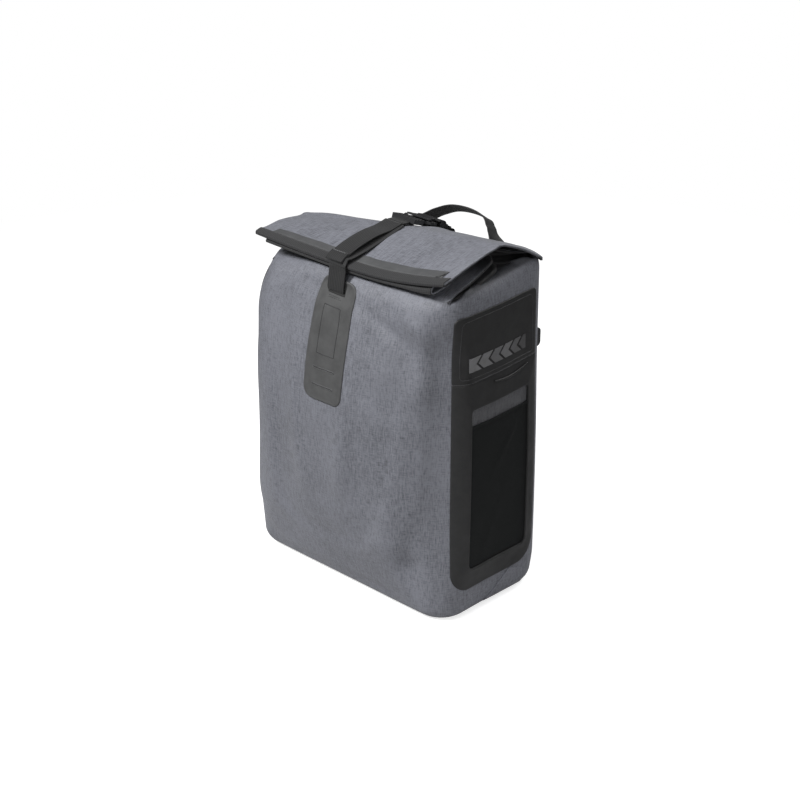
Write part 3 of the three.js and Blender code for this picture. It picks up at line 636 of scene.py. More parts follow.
def metal(name, colour, roughness, brushed=(1, 1, 1)):
    """Metal; brushed scales its marks per axis."""
    n = Surface(name, "Object")
    marks = n.noise(tuple(90 * v for v in brushed), detail=4.0, roughness=0.6)
    return n.finish({
        "Base Color": n.ramp(marks, tint(colour, 0.85), tint(colour, 1.1), low=0.3, high=0.7),
        "Roughness": n.ramp(marks, roughness * 0.8, roughness * 1.3, low=0.3, high=0.7),
        "Metallic": 1.0, "Normal": n.bump(marks, strength=0.1, distance=0.0002)})


def film(name, tone_with_painted_reflection):
    """Reflective film, slightly blue where lightest; its level holds the film's pale tone and painted
    reflection.
    """
    n = Surface(name)
    beads = n.cells(1200.0)
    light = (tone_with_painted_reflection * 1.08, tone_with_painted_reflection * 1.08, tone_with_painted_reflection * 1.14)
    return n.finish({
        "Base Color": n.ramp(n.noise(90, detail=3.0), tone_with_painted_reflection * 0.9, light, low=0.3, high=0.7),
        "Roughness": 0.42, "Metallic": 0.15,
        "Normal": n.bump(beads, strength=0.15, distance=0.0002)})


FABRIC = heather("heather_fabric")
# heather with painted shade: darkened towards black in the folds and under the top sheet
FABRIC_PAINTED_SHADE = heather("heather_fabric_deep_folds", shaded=True)
# a darker copy of the heather: painted shade in the pocket window
FABRIC_WINDOW_PAINTED_SHADE = heather("heather_in_window_painted_shade", dark=(0.014, 0.014, 0.016),
                        light=(0.080, 0.081, 0.088))
PANEL = welded("welded_panel", colour=(0.0175, 0.0175, 0.0179), roughness=0.55)
PANEL_LINE = welded("welded_line", colour=(0.036, 0.036, 0.038), roughness=0.5)
PATCH = welded("welded_patch", colour=(0.059, 0.0595, 0.060), roughness=0.52)
PATCH_DARK = welded("welded_patch_mark", colour=(0.026, 0.0265, 0.027), roughness=0.5)
STRIP = welded("welded_strip", colour=(0.064, 0.065, 0.067), roughness=0.42)
BASE = welded("base_sheet", colour=(0.022, 0.022, 0.025), roughness=0.6)
WEBBING = webbing("webbing_black", colour=(0.018, 0.018, 0.0185))
BINDING = webbing("binding_tape", colour=(0.026, 0.026, 0.027))
POCKET = mesh_cloth("pocket_mesh_cloth")
PLASTIC = plastic("buckle_plastic", colour=(0.014, 0.014, 0.015), roughness=0.38)
BLACK = plastic("deep_black", colour=(0.004, 0.004, 0.004), roughness=0.6)
ALUMINIUM = metal("anodised_rail", colour=(0.30, 0.31, 0.32), roughness=0.35,
                  brushed=(0.05, 1, 1))
STEEL = metal("zinc_steel", colour=(0.55, 0.56, 0.58), roughness=0.28)
THREAD = webbing("thread", colour=(0.03, 0.03, 0.032))
THREAD_PALE = webbing("thread_pale", colour=(0.20, 0.20, 0.21))


# ---------------------------------------------------------------- heights of the top's lines
def crest(x):
    """The ridge at the hinge, rising to both sides."""
    x = np.asarray(x, float)
    rise = np.where(x > 0, 0.115 * x, 0.140 * x)
    return HINGE[2] - 0.8 + rise - 1.5 * ease(-90, -155, x) - 3 * ease(120, 155, x) * 0.4


def front_z(x):
    """The roll's front edge."""
    x = np.asarray(x, float)
    return 400.0 + np.where(x > 0, 8.8e-4, 1.2e-4) * x * x


def back_z(x):
    """The back shoulder."""
    x = np.asarray(x, float)
    return 391.0 + np.where(x > 0, 0.088, 0.18) * x


def back_y(x):
    return HALF_D - np.maximum(0, np.abs(x) - 116) ** 2 / 95


def shoulder(s):
    """Height at which the wall turns in, round the whole bag."""
    x, y, _, _ = outline(s)
    w = np.clip((y + HALF_D) / (2 * HALF_D), 0, 1)
    front = 383 + np.where(x > 0, 4.5 * (x / HALF_W) ** 2, -17 * ease(50, 150, -x))
    return front * (1 - w) + (back_z(x) - 1) * w


RIDGE_END, RIDGE_BACK_END, RIDGE_TUCK = 147.0, 132.0, 70    # x of the front, back, tucked ends


def ridge_line(s):
    """Where each column of the shell meets the ridge; the gussets tuck in between its ends."""
    a, sign = np.abs(s), np.where(np.asarray(s) < 0, -1.0, 1.0)
    b = S_HALF - a
    back_corner = S_HALF - S_BACK_CORNER
    x = np.where(a <= S_FRONT_CORNER, a * RIDGE_END / S_FRONT_CORNER, 0)
    tuck = (a - S_FRONT_CORNER) * (RIDGE_END - RIDGE_TUCK) / (S_SIDE_MID - S_FRONT_CORNER)
    x = np.where((a > S_FRONT_CORNER) & (a <= S_SIDE_MID), RIDGE_END - tuck, x)
    tuck = ((b - back_corner) * (RIDGE_BACK_END - RIDGE_TUCK)
            / (S_HALF - S_SIDE_MID - back_corner))
    x = np.where((a > S_SIDE_MID) & (b > back_corner), RIDGE_BACK_END - tuck, x)
    x = np.where(b <= back_corner, b * RIDGE_BACK_END / back_corner, x)
    x = sign * x
    y = HINGE[1] - 8 + 7 * (2 * ease(S_SIDE_MID - 16, S_SIDE_MID + 16, a) - 1)
    gusset = (ease(S_FRONT_CORNER + 2, S_FRONT_CORNER + 40, a)
              * (1 - ease(S_BACK_CORNER - 40, S_BACK_CORNER - 2, a)))
    frontal = 1 - ease(S_FRONT_CORNER, S_SIDE_MID, a)
    z = crest(x) - 7 - 24 * gusset - frontal * 9 * ease(50, 148, np.abs(x))
    return np.stack([x, y, z], -1)


# ---------------------------------------------------------------- body shell
def shell_columns():
    """Columns s round the bag, and their spans (name, first, end). At each top corner nine close
    columns open into a folded edge; fold+ follows the panel it belongs to, fold- precedes it."""
    k = np.linspace(0.4, 3.6, 9)
    front, rear, turn = S_FRONT_CORNER, S_BACK_CORNER, 2 * S_HALF
    parts = [("front", np.linspace(-front, front, 130)),
             ("fold+", front + k),
             ("right", np.linspace(front + 4.6, rear - 4.6, 46)),
             ("fold-", rear - k[::-1]),
             ("back", np.linspace(rear, turn - rear, 110)),
             ("fold+", turn - rear + k),
             ("left", np.linspace(turn - rear + 4.6, turn - front - 4.6, 46)),
             ("fold-", turn - front - k[::-1])]
    spans, first = [], 0
    for name, part in parts:
        spans.append((name, first, first + len(part)))
        first += len(part)
    s = np.concatenate([part for _, part in parts])
    return np.mod(np.asarray(s, float) + S_HALF, 2 * S_HALF) - S_HALF, spans


def shell_rows(s):
    """Rows from the turned-under bottom up the wall, over the shoulder and in to the ridge.
    Also each row's texture height, its share of the corner folds and its way to the ridge."""
    bend_steps = slope_steps = 16
    shoulder_z = shoulder(s)
    _, _, nx, ny = outline(s)
    foot = displaced(s, np.full_like(s, 3.2))
    rows, tex, fold, slope = [], [], [], []
    for k, (inset, z) in enumerate(((22, 3.0), (10, 2.95), (3.0, 3.0))):
        rows.append(np.stack([foot[:, 0] - nx * inset, foot[:, 1] - ny * inset,
                              np.full_like(s, z)], -1))
        tex.append(np.full_like(s, -20 + k * 7))
    for q in np.concatenate([np.linspace(0, 0.08, 14)[:-1], np.linspace(0.08, 1, 84)]):
        z = 3.6 + (shoulder_z - 15 - 3.6) * q
        rows.append(displaced(s, z))
        tex.append(z)
    wall_rows = len(rows)
    wall_top, tex_top = rows[-1], tex[-1]
    control = displaced(s, shoulder_z - 2) + np.array([0, 0, 6.0])
    ridge = ridge_line(s)
    bend_end = control + (ridge - control) * 0.24
    for u in np.linspace(0, 1, bend_steps + 1)[1:]:
        rows.append(wall_top * (1 - u) ** 2 + 2 * control * u * (1 - u) + bend_end * u * u)
        tex.append(tex_top + u * 36)
        fold.append(0.85 * ease(0.40, 0.78, u))
        slope.append(0.0)
    for u in np.linspace(0, 1, slope_steps + 1)[1:]:
        hollow = np.array([0, 0, 2.0 * math.sin(math.pi * u)])
        rows.append(bend_end + (ridge - bend_end) * u - hollow)
        tex.append(tex_top + 36 + u * 60)
        fold.append(0.85 + 0.15 * ease(0, 0.3, u))
        slope.append(u)
    inwards = np.where(np.abs(s) < S_SIDE_MID, 1, -1)
    x = ridge[:, 0]
    rows.append(ridge + np.stack([-0.045 * x, 6 * inwards, 2.2 + 1.5 * (x / RIDGE_END) ** 2], -1))
    tex.append(tex_top + 104)
    flat = np.zeros(wall_rows)
    return (np.stack(rows, 1), np.stack(tex, 1), np.concatenate([flat, fold, [1.0]]),
            np.concatenate([flat, slope, [1.0]]))


# a folded edge's columns, from the panel's edge round and under: inwards, up (mm)
FOLD_PROFILE = ((-0.9, -0.5), (-1.2, -1.5), (-0.6, -2.7), (4, -3.2), (13, -3.6), (13.5, -5.0),
                (12, -6.4), (5, -7.6), (-0.5, -8.6))


def open_fold(grid, plain, shade, span, fold, slope):
    """Turn nine close columns into a folded edge and sink the gusset beside it; both get painted shade
    through the shade values.
    """
    name, a, b = span
    n = len(grid)
    after = name == "fold+"
    edge = (a - 1) % n if after else b % n
    inner = (edge - 7) % n if after else (edge + 7) % n
    line = plain[edge]
    inwards = plain[inner] - line
    inwards /= np.linalg.norm(inwards, axis=1, keepdims=True)
    up = np.cross(np.gradient(line, axis=0), inwards)
    up /= np.maximum(1e-9, np.linalg.norm(up, axis=1, keepdims=True))
    up = np.where(up[:, 2:3] < 0, -up, up)
    w = fold[:, None]
    for k, col in enumerate(range(a, b) if after else range(b - 1, a - 1, -1)):
        offset_in, offset_up = FOLD_PROFILE[k]
        deeper = (1 + 0.9 * slope[:, None]) if k > 4 else 1.0
        folded = line + inwards * offset_in + up * offset_up * deeper
        grid[col] = plain[col] * (1 - w) + w * folded
        # painted shade: the columns turned under the folded edge are darkened almost to black
        if k > 2:
            shade[col] *= 1 - 0.93 * ease(0.2, 0.75, fold)
    # the gusset dips beside the fold, deeper and wider at the back corners, and is darkened there by
    # painted shade
    behind = (not after) == (a < n // 2)
    depth, width = (20, 10) if behind else (10, 7.5)
    for q in range(14):
        col = (b + q) % n if after else (a - 1 - q) % n
        d = np.linalg.norm(plain[col] - line, axis=1)
        drop = (12 + depth * slope) * np.exp(-(d / (width + 12 * slope)) ** 2) * fold
        grid[col] -= up * drop[:, None]
        shade[col] *= 1 - 0.93 * np.exp(-(d / (6 + 6 * slope)) ** 2) * ease(0.2, 0.75, fold)


def body_shell():
    s, spans = shell_columns()
    grid, tex, fold, slope = shell_rows(s)
    plain = grid.copy()
    # painted shade: the fabric deep under the top sheet and in the tucked gussets is darkened towards
    # black
    shade = np.ones(grid.shape[:2])
    for name, a, b in spans:
        if name in ("front", "back"):
            shade[a:b] *= 1 - 0.9 * ease(0.45, 0.95, slope)
        else:
            shade[a:b] *= (1 - 0.95 * ease(-0.02, 0.34, slope)) * (1 - 0.6 * ease(0.1, 0.8, fold))
    for span in spans:
        if span[0].startswith("fold"):
            open_fold(grid, plain, shade, span, fold, slope)
    around = np.unwrap(s, period=2 * S_HALF)[:, None]
    uv = np.stack([np.broadcast_to(around, grid.shape[:2]), tex], -1)
    # the inside face gets a fifth of it: painted shade inside the bag
    shade = np.concatenate([shade.ravel(), shade.ravel() * 0.2])
    obj = sheet("body_shell", grid, 1.8, FABRIC_PAINTED_SHADE, uv, wrap=True, shade=shade)
    enlist(obj, replaces=("body_wrap", "gusset_right", "gusset_left", "front_lip"))


# ---------------------------------------------------------------- sagging fabric
def run_cloth(obj, frames):
    """Run the cloth a few frames and return its points (mm); obj is removed."""
    settings = {
        "quality": 6, "mass": 0.35, "tension_stiffness": 24, "compression_stiffness": 24,
        "shear_stiffness": 12, "bending_stiffness": 2.5, "tension_damping": 18,
        "vertex_group_mass": "pin",
        # negative shrink is slack; the pressure is the bag's filling
        "shrink_min": -0.012, "shrink_max": -0.012,
        "use_pressure": True, "uniform_pressure_force": 0.6}
    cloth = obj.modifiers.new("c", "CLOTH")
    for key, value in settings.items():
        setattr(cloth.settings, key, value)
    cloth.settings.effector_weights.gravity = 0.6
    cloth.collision_settings.use_collision = False
    cloth.collision_settings.use_self_collision = False
    scene = bpy.context.scene
    for number in range(1, frames + 1):
        scene.frame_set(number)
    result = obj.evaluated_get(bpy.context.evaluated_depsgraph_get()).to_mesh()
    flat = np.zeros(len(result.vertices) * 3)
    result.vertices.foreach_get("co", flat)
    scene.frame_set(1)
    bpy.data.objects.remove(obj)
    return flat / MM


def blur(values, r):
    """Three box blurs of radius r: round the bag, and up the wall with held ends."""
    rows = values.shape[1]
    for _ in range(3):
        values = sum(np.roll(values, k, 0) for k in range(-r, r + 1)) / (2 * r + 1)
        held = np.pad(values, ((0, 0), (r, r)), mode="edge")
        values = sum(held[:, k:k + rows] for k in range(2 * r + 1)) / (2 * r + 1)
    return values


def simulate_sag():
    """Slack wall fabric, pinned at the base and shoulder and along the back board."""
    ns, nz, z0 = 150, 62, 6.0
    s, z = np.linspace(-S_HALF, S_HALF, ns, endpoint=False), np.linspace(z0, WALL_TOP, nz)
    grid = body(s[:, None], z[None, :])
    faces = [(i * nz + j, ((i + 1) % ns) * nz + j, ((i + 1) % ns) * nz + j + 1, i * nz + j + 1)
             for i in range(ns) for j in range(nz - 1)]
    obj = mesh("sag_tmp", grid.reshape(-1, 3), faces)
    pins = obj.vertex_groups.new(name="pin")
    for i in range(ns):
        for j in range(nz):
            if j < 2 or j > nz - 3 or abs(s[i]) > S_SIDE_END:
                pins.add([i * nz + j], 1.0, "REPLACE")
    moved = run_cloth(obj, frames=25).reshape(ns, nz, 3) - grid
    # only folds and swags are kept, along the normal: the overall fullness is in the surface
    normals = vertex_normals(grid, True)
    out = (moved * normals).sum(-1)
    limit = 3.4
    folds = 1.15 * (blur(out, 1) - blur(out, 5))
    folds = limit * np.tanh(folds / limit)
    # the welded side panels are stiffer, and the base and shoulder stay put
    soft = 1 - 0.95 * ease(104, 140, np.abs(s))
    fade = ease(6, 30, z) * (1 - ease(340, 374, z))
    SAG.update(ds=2 * S_HALF / ns, z0=z0, dz=(WALL_TOP - z0) / (nz - 1),
               grid=normals * (folds * soft[:, None] * fade[None, :])[..., None])


# ---------------------------------------------------------------- base and back
def base_pieces():
    """The rounded base sheet with its turned edge, and the board above it."""
    s = np.linspace(-S_HALF, S_HALF, 260, endpoint=False)
    _, _, nx, ny = outline(s)
    foot = body(s, np.full_like(s, 3.2))[:, :2]
    profile = ((2.2, -1.2), (2.8, -2.0), (4.5, -2.7), (8, -3.0), (22, -3.0))
    rings = [(foot - np.stack([nx, ny], -1) * d, h) for d, h in profile]
    obj = plate("base_sheet", rings, BASE, lambda a, b, h: np.stack([a, b, 3.1 + h], -1), 0.0)
    enlist(obj, replaces=("base_panel",))
    rings = inset_rings(-128, 128, -58, 58, 18, (6, 12), ((0, 1.6), (0.6, 2.2)))
    obj = plate("base_stiffener", rings, BLACK, lambda a, b, h: np.stack([a, b, 5.2 + h], -1), 0.0)
    enlist(obj, replaces=("base_board",))


def on_back(depth):
    """A place function for the flat back; above z = 300 it stretches to the slanting shoulder."""
    def place(x, z, height):
        stretch = (back_z(x) - 12 - 300) / 86.0
        return np.stack([x, depth + height, np.where(z > 300, 300 + (z - 300) * stretch, z)], -1)
    return place


def back_pieces():
    """The back board, and the sheet flat against it with a welded rim."""
    rings = inset_rings(-108, 108, 12, 378, 14, (6, 16), ((0, 1.6), (0.6, 2.0)))
    obj = plate("back_stiffener", rings, BLACK, on_back(BACK_Y - 4.6), 0.0)
    enlist(obj, replaces=("back_board",))
    rings = inset_rings(BACK_LO[0], BACK_HI[0], 34, 366, 14, (6, 16),
                        ((0, 0.2), (0.8, 0.75), (5, 0.85), (6.2, 0.55), (8, 0.5)))
    obj = plate("back_sheet", rings, PANEL, on_back(BACK_Y), -0.1)
    enlist(obj, replaces=("back_panel",))


# ---------------------------------------------------------------- top sheet
TOP_COLUMNS, TOP_ROWS = 150, 110

# outlines of the top sheet's ends: y, x
TOP_RIGHT = np.array([(-89, 154), (-40, 152), (5, 149), (30, 153), (60, 154.5), (72, 152),
                      (90, 145.5)], float)
TOP_LEFT = np.array([(-89, -131), (-40, -146), (5, -151), (60, -140), (90, -128)], float)


def top_path(x):
    """Section (y, z) at x: back shoulder, over the ridge, to the roll's front edge."""
    ridge_z, front, back, yb = crest(x), front_z(x), back_z(x), back_y(x)
    fall = front - ridge_z
    yr = HINGE[1] - 5
    wave = 0.8 * math.sin(x * 0.045) + 0.5 * math.sin(x * 0.11 + 1.3)
    near = math.exp(-(x / 15) ** 2)     # flatter under the strap
    crown = ((2.4 * ease(-90, 0, x) + 0.3 + wave) * (1 - near)
             + 2.6 * math.exp(-((x - 17) / 9) ** 2))
    hem = 22 - 16 * ease(105, 148, abs(x))
    return catmull([
        (yb + 0.1, back - hem), (yb + 0.1, back - hem * 0.42), (yb - 2.4, back - 0.6),
        (yb - 12, back + (ridge_z - back) * 0.15),
        (yr + (yb - yr) * 0.5, back + (ridge_z - back) * 0.53 + crown * 0.7),
        (yr + 13, ridge_z - 3.6 + crown * 0.2), (yr + 3, ridge_z - 0.6), (yr - 7, ridge_z - 1.2),
        (yr - 30, ridge_z + fall * 0.30 + crown * 0.6), (-60, ridge_z + fall * 0.70 + crown * 0.5),
        (-78, ridge_z + fall * 0.9 + 0.6), (-88.5, front)], TOP_ROWS)


def noise_at(p, size, seed):
    return noise.noise(Vector((p[0] / size + seed, p[1] / size, p[2] / size)))


def top_grid():
    columns = []
    for share in np.linspace(0, 1, TOP_COLUMNS):
        path = top_path(-150 + 300 * share)
        left, right = (np.interp(path[:, 0], t[:, 0], t[:, 1]) for t in (TOP_LEFT, TOP_RIGHT))
        x = left * (1 - share) + right * share
        columns.append(np.stack([x, path[:, 0], path[:, 1]], -1))
    grid = np.stack(columns, 0)
    ruffle = np.array([[noise_at(p, 55, 3.1) * 0.8 + noise_at(p, 24, 9.2) * 0.3 for p in row]
                       for row in grid])
    x, y = grid[..., 0], grid[..., 1]
    loose = ((1 - np.exp(-(x / 26) ** 2)) * ease(HALF_D + 4, HALF_D - 14, y)
             * ease(-89, -70, y))
    dip = 1.5 * ease(-122, -152, x) * np.exp(-((y - 4) / 30) ** 2)
    grid[..., 2] += ruffle * loose - dip
    return grid


TOP = top_grid()
FROM_EDGE = [lengths(column[::-1]) for column in TOP]   # distance from the front edge


def top_sheet():
    along = np.broadcast_to(np.linspace(0, 215, TOP_ROWS)[None, :], TOP.shape[:2])
    count = TOP_COLUMNS * TOP_ROWS
    # the underside is darkened to 0.22: painted shade under the roll
    obj = sheet("top_sheet", TOP, 2.4, FABRIC_PAINTED_SHADE, np.stack([TOP[..., 0], along], -1), flip=True,
                shade=np.concatenate([np.ones(count), np.full(count, 0.22)]))
    enlist(obj, None,
           ("roll_outer", "back_lip", "batten_upper", "roll_inner", "batten_lower"))
    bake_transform(obj)


# ---------------------------------------------------------------- the roll's front lips
def lip_grid(u0, u1, count, distances, skew=0.0):
    """Points of the top sheet's outer face at distances from its front edge, for shares u0 to u1
    of its width from left to right."""
    out = []
    for k in range(count):
        row = []
        for d in distances:
            u = (u0 + (u1 - u0) * k / (count - 1)) * (TOP_COLUMNS - 1)
            u = min(TOP_COLUMNS - 1.001, max(0.0, u + skew * d * (1 - k / (count - 1))))
            i = int(u)
            column = (TOP[i] * (1 - (u - i)) + TOP[i + 1] * (u - i))[::-1]
            row.append([np.interp(d, FROM_EDGE[i], column[:, c]) for c in range(3)])
        out.append(row)
    return np.array(out)


def lip_normals(grid):
    n = vertex_normals(grid)
    return np.where(n[..., 2:3] < 0, -n, n)


def upper_lip():
    """The binding round the front edge, the strip behind it and a dark mark at its right end."""
    grid = lip_grid(0.0, 1.0, 150, [11.5, 9, 6, 3.5, 1.5, 0.4])
    normals = lip_normals(grid)
    forward = grid[:, -1] - grid[:, -3]
    forward /= np.linalg.norm(forward, axis=1, keepdims=True)
    edge, up = grid[:, -1], normals[:, -2]
    over = [grid[:, j] + normals[:, j] * (0.75 if j else 0.5) for j in range(6)]
    nose = [edge + forward * 1.2 + up * 0.3, edge + forward * 1.7 - up * 0.8,
            edge + forward * 1.7 - up * 2.0, edge + forward * 1.0 - up * 3.1]
    under = [grid[:, j] - normals[:, j] * 3.4 for j in (4, 3, 2, 1, 0)]
    obj = sheet("lip_binding_upper", np.stack(over + nose + under, 1), 0.5, BINDING)
    enlist(obj, "roll", ("edge_binding_upper",))

    # distance from the edge, height above the sheet
    section = np.array([(11.9, 0.25), (12.3, 0.8), (14, 0.95), (17, 0.95), (20, 0.95),
                        (23.5, 0.95), (24.3, 0.8), (24.7, 0.2)])
    grid = lip_grid(0.055, 0.955, 130, section[:, 0], skew=0.12)
    raised = grid + lip_normals(grid) * section[:, 1][None, :, None]
    enlist(sheet("lip_strip", raised, 0.4, STRIP), "roll")

    # share of the width, distance from the edge
    stations = ((0.925, 11.2), (0.937, 12.5), (0.947, 15), (0.950, 19))
    line = [lip_grid(u, u, 2, [d])[0, 0] + np.array([0, 0, 1.25]) for u, d in stations]
    obj = ribbon("strip_end_mark", catmull(line, 16), (1, 0.3, 0), 0.7, 0.8, BLACK)
    enlist(obj, "roll")


def lower_lip_section(x, count):
    """Section (y, z) of the second lip, folded round its own batten and curled at its end."""
    gap = 4.4 + 2.6 * ease(20, 132, x) + 0.6 * ease(-60, -120, x)
    z = front_z(x) - gap
    r = 2.2 + 2.0 * ease(80, 134, x)
    return catmull([(-34, z + 6.5), (-58, z + 3.2), (-74, z + 1.6), (-82 - r * 0.2, z + r * 0.3),
                    (-86.5, z - r * 0.5), (-86.2, z - r * 1.5), (-82, z - r * 2.0),
                    (-72, z - r * 1.6 - 0.6), (-58, z - r - 1.0)], count)


def lower_lip():
    rows = 44
    grid = np.stack([np.concatenate([np.full((rows, 1), x), lower_lip_section(x, rows)], 1)
                     for x in np.linspace(-117, 134, 110)])
    enlist(sheet("lip_lower", grid, 1.5, FABRIC, flip=True), "roll")
    bound = grid[:, 12:36] - vertex_normals(grid)[:, 12:36] * 0.9
    obj = sheet("lip_binding_lower", bound, 0.8, BINDING, flip=True, outward=False)
    enlist(obj, "roll", ("edge_binding_lower",))


# ---------------------------------------------------------------- front patch
def front_patch():
    """The patch with its embossed rectangle, two slit loops, the strap's slot and two rows of
    stitches. Near the middle of the front s is x."""
    bottom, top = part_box("front_patch")[0][2] / MM + 5, 383.0
    rings = inset_rings(-30, 30, bottom, top, 12, (8, 20), (
        (0, 0.5), (0.5, 1.3), (2.0, 1.5), (2.8, 1.15), (5, 1.1), (9, 1.1), (14, 1.1)), shrink=0.5)
    obj = plate("front_patch_sheet", rings, PATCH, on_body, 0.1)
    enlist(obj, replaces=("front_patch",))
    frame_ring("patch_emboss", (-13.5, 13.5, 298, 353), (1.5,) * 4, width=1.3, height=0.28,
               base=1.0, steps=(6, 16), material=PATCH_DARK, place=on_body)
    for k, z in enumerate((282.5, 263.0)):
        rings = inset_rings(-16.5, 16.5, z - 1.3, z + 1.3, 1.4, (5, 8),
                            ((0, 1.15), (0.3, 1.7), (0.7, 1.7), (1.0, 1.2)))
        enlist(plate(f"light_loop_{k + 1}", rings, STRIP, on_body, 0.9))
        # each slit is a black plate: painted shade inside the slit
        rings = inset_rings(-15.2, 15.2, z - 0.55, z + 0.35, 0.4, (4, 8), ((0, 1.45),))
        enlist(plate(f"light_slit_painted_shade_{k + 1}", rings, BLACK, on_body, 1.0))
    rings = inset_rings(-13.4, 14.8, 365.4, 370.6, 1.2, (4, 8), ((0, 1.2), (0.4, 1.35), (0.9, 1.35)))
    enlist(plate("strap_slot_shadow", rings, BLACK, on_body, 0.9))
    for name, z, radius in (("patch_stitches", 362.8, 0.35), ("patch_stitches_2", 361.0, 0.3)):
        row = on_body(np.linspace(-11, 11, 20), z, 1.2)
        stitches(name, row, (0, -1, 0.1), THREAD, length=1.9, radius=radius)


# ---------------------------------------------------------------- side panels and pockets
PANEL_S0, PANEL_S1 = 155.5, 288.0
WINDOW_S0, WINDOW_S1, WINDOW_Z0, WINDOW_Z1 = 177.0, 270.5, 62.0, 261.0
POCKET_TOP = 241.0


def side_s(y):
    """The station s of a point on the flat of the side."""
    return S_SIDE + (y + HALF_D - CORNER_R)


def side_panels(tag, place, flip):
    """The upper sheet, the lower sheet round the pocket window, and the line between them."""
    rings = [(rounded(PANEL_S0 + d, PANEL_S1 - d, 293.4 + d * 0.5, 372 - d,
                      (8 - min(d, 5), 8 - min(d, 5), 1, 1), 9, 22), h) for d, h in
             ((0, 0.3), (0.4, 1.1), (1.2, 1.35), (3, 1.4), (8, 1.4), (14, 1.4))]
    obj = plate(f"side_sheet_{tag}", rings, PANEL, place, 0.1)
    enlist(obj, replaces=(f"side_panel_{tag}",))
    frame_ring(f"side_frame_line_{tag}", (PANEL_S0 + 8.5, PANEL_S1 - 7.5, 298.0, 366.5),
               (7, 7, 4, 4), width=0.75, height=0.3, base=1.35, steps=(8, 22),
               material=PANEL_LINE, place=place)

    outer = rounded(PANEL_S0, PANEL_S1, 36, 293.1, (1, 1, 24, 30), 10, 26)
    inner = rounded(WINDOW_S0, WINDOW_S1, WINDOW_Z0, WINDOW_Z1, (4, 4, 7, 7), 10, 26)
    # share of the way in to the window, height
    profile = ((0, 0.5), (0.02, 1.2), (0.09, 1.5), (0.3, 1.9), (0.6, 2.6), (0.86, 2.9),
               (0.92, 3.3), (0.97, 3.35), (1.0, 2.6))
    rings = [(outer + (inner - outer) * q, h) for q, h in profile]
    obj = plate(f"pocket_frame_sheet_{tag}", rings, PANEL, place, 0.1, close=False)
    enlist(obj, replaces=(f"pocket_frame_{tag}",))

    # a pale weld line where the two sheets meet
    rings = inset_rings(PANEL_S0 + 1, PANEL_S1 - 1, 292.6, 293.9, 0.3, (3, 30),
                        ((0, 1.3), (0.25, 1.65), (0.5, 1.65)))
    enlist(plate(f"panel_weld_{tag}", rings, PANEL_LINE, place, 1.1))
    # the panel gapes a little just under that line; a black sheet there is painted shade in the gape
    t = np.linspace(0, 1, 40)
    s, z = 212 + 58 * t, 285.0 - 4.0 * np.sin(np.pi * t) + 2 * t
    width = 0.2 + 1.25 * np.sin(np.pi * t)
    grid = np.stack([place(s, z + width * w, 1.95 + 0.95 * (1 - w * w))
                     for w in (-1, -0.5, 0, 0.5, 1)], 1)
    enlist(sheet(f"panel_crease_painted_shade_{tag}", grid, 0.6, BLACK, flip=not flip))


def pocket_lining(tag, place, flip):
    """The window's backing: a strip of the body cloth in a darker copy, painted shade in the window.
    """
    s, z = np.meshgrid(np.linspace(WINDOW_S0 - 2, WINDOW_S1 + 2, 40),
                       np.linspace(230, WINDOW_Z1 + 2, 16), indexing="ij")
    grid = place(s, z, 0.75 + 0.35 * np.sin(s / 7.0) * np.sin(z / 5.0))
    obj = sheet(f"pocket_lining_{tag}", grid, 0.5, FABRIC_WINDOW_PAINTED_SHADE, np.stack([s, z], -1), flip=flip)
    enlist(obj)


def base_fold(tag, place):
    """The bottom's folded corner: a smooth flap with a diagonal edge."""
    corners = [(-16, 7), (24, 35.5), (47, 26), (50, 4), (10, 3.3)]     # y, z
    fine = subdivide(np.array(corners, float), 10)
    centre = fine.mean(0)
    rings = []
    for k, h in ((1, 0.5), (0.98, 0.95), (0.9, 1.0), (0.6, 0.9)):
        y, z = (centre + (fine - centre) * k).T
        rings.append((np.stack([side_s(y), z], -1), h))
    enlist(plate(f"base_fold_{tag}", rings, FABRIC, place, 0.05))


def pocket_cloth(tag, place, flip):
    """Stretch mesh bellying in the window, with two soft folds, and its elastic hem."""
    a = np.linspace(WINDOW_S0 - 3, WINDOW_S1 + 3, 60)
    s, z = np.meshgrid(a, np.linspace(WINDOW_Z0 - 4, POCKET_TOP, 90), indexing="ij")
    u = (s - WINDOW_S0) / (WINDOW_S1 - WINDOW_S0)
    w = (z - WINDOW_Z0) / (POCKET_TOP - WINDOW_Z0)
    belly = 1.3 * np.sin(np.pi * np.clip(u, 0, 1)) * np.sin(np.pi * np.clip(w * 0.8, 0, 1))
    across = (s - 236) * 0.80 + (z - 205) * -0.60
    along = (s - 236) * 0.6 + (z - 205) * 0.8
    upper_fold = 1.5 * np.exp(-(across / 4.5) ** 2) * np.exp(-(along / 30) ** 2)
    across = (s - 215) * 0.9 + (z - 110) * -0.4
    lower_fold = 0.7 * np.exp(-(across / 6) ** 2) * np.exp(-((z - 110) / 45) ** 2)
    height = 1.0 + belly * 0.8 + upper_fold + lower_fold
    obj = sheet(f"pocket_cloth_{tag}", place(s, z, height), 0.7, POCKET, np.stack([s, z], -1),
                flip=flip)
    enlist(obj, replaces=(f"pocket_mesh_{tag}",))
    line = place(a, POCKET_TOP - 1.5, height[:, -1] + 0.6)
    enlist(ribbon(f"pocket_hem_{tag}", line, (0, 0, 1), 1.6, 0.9, POCKET))


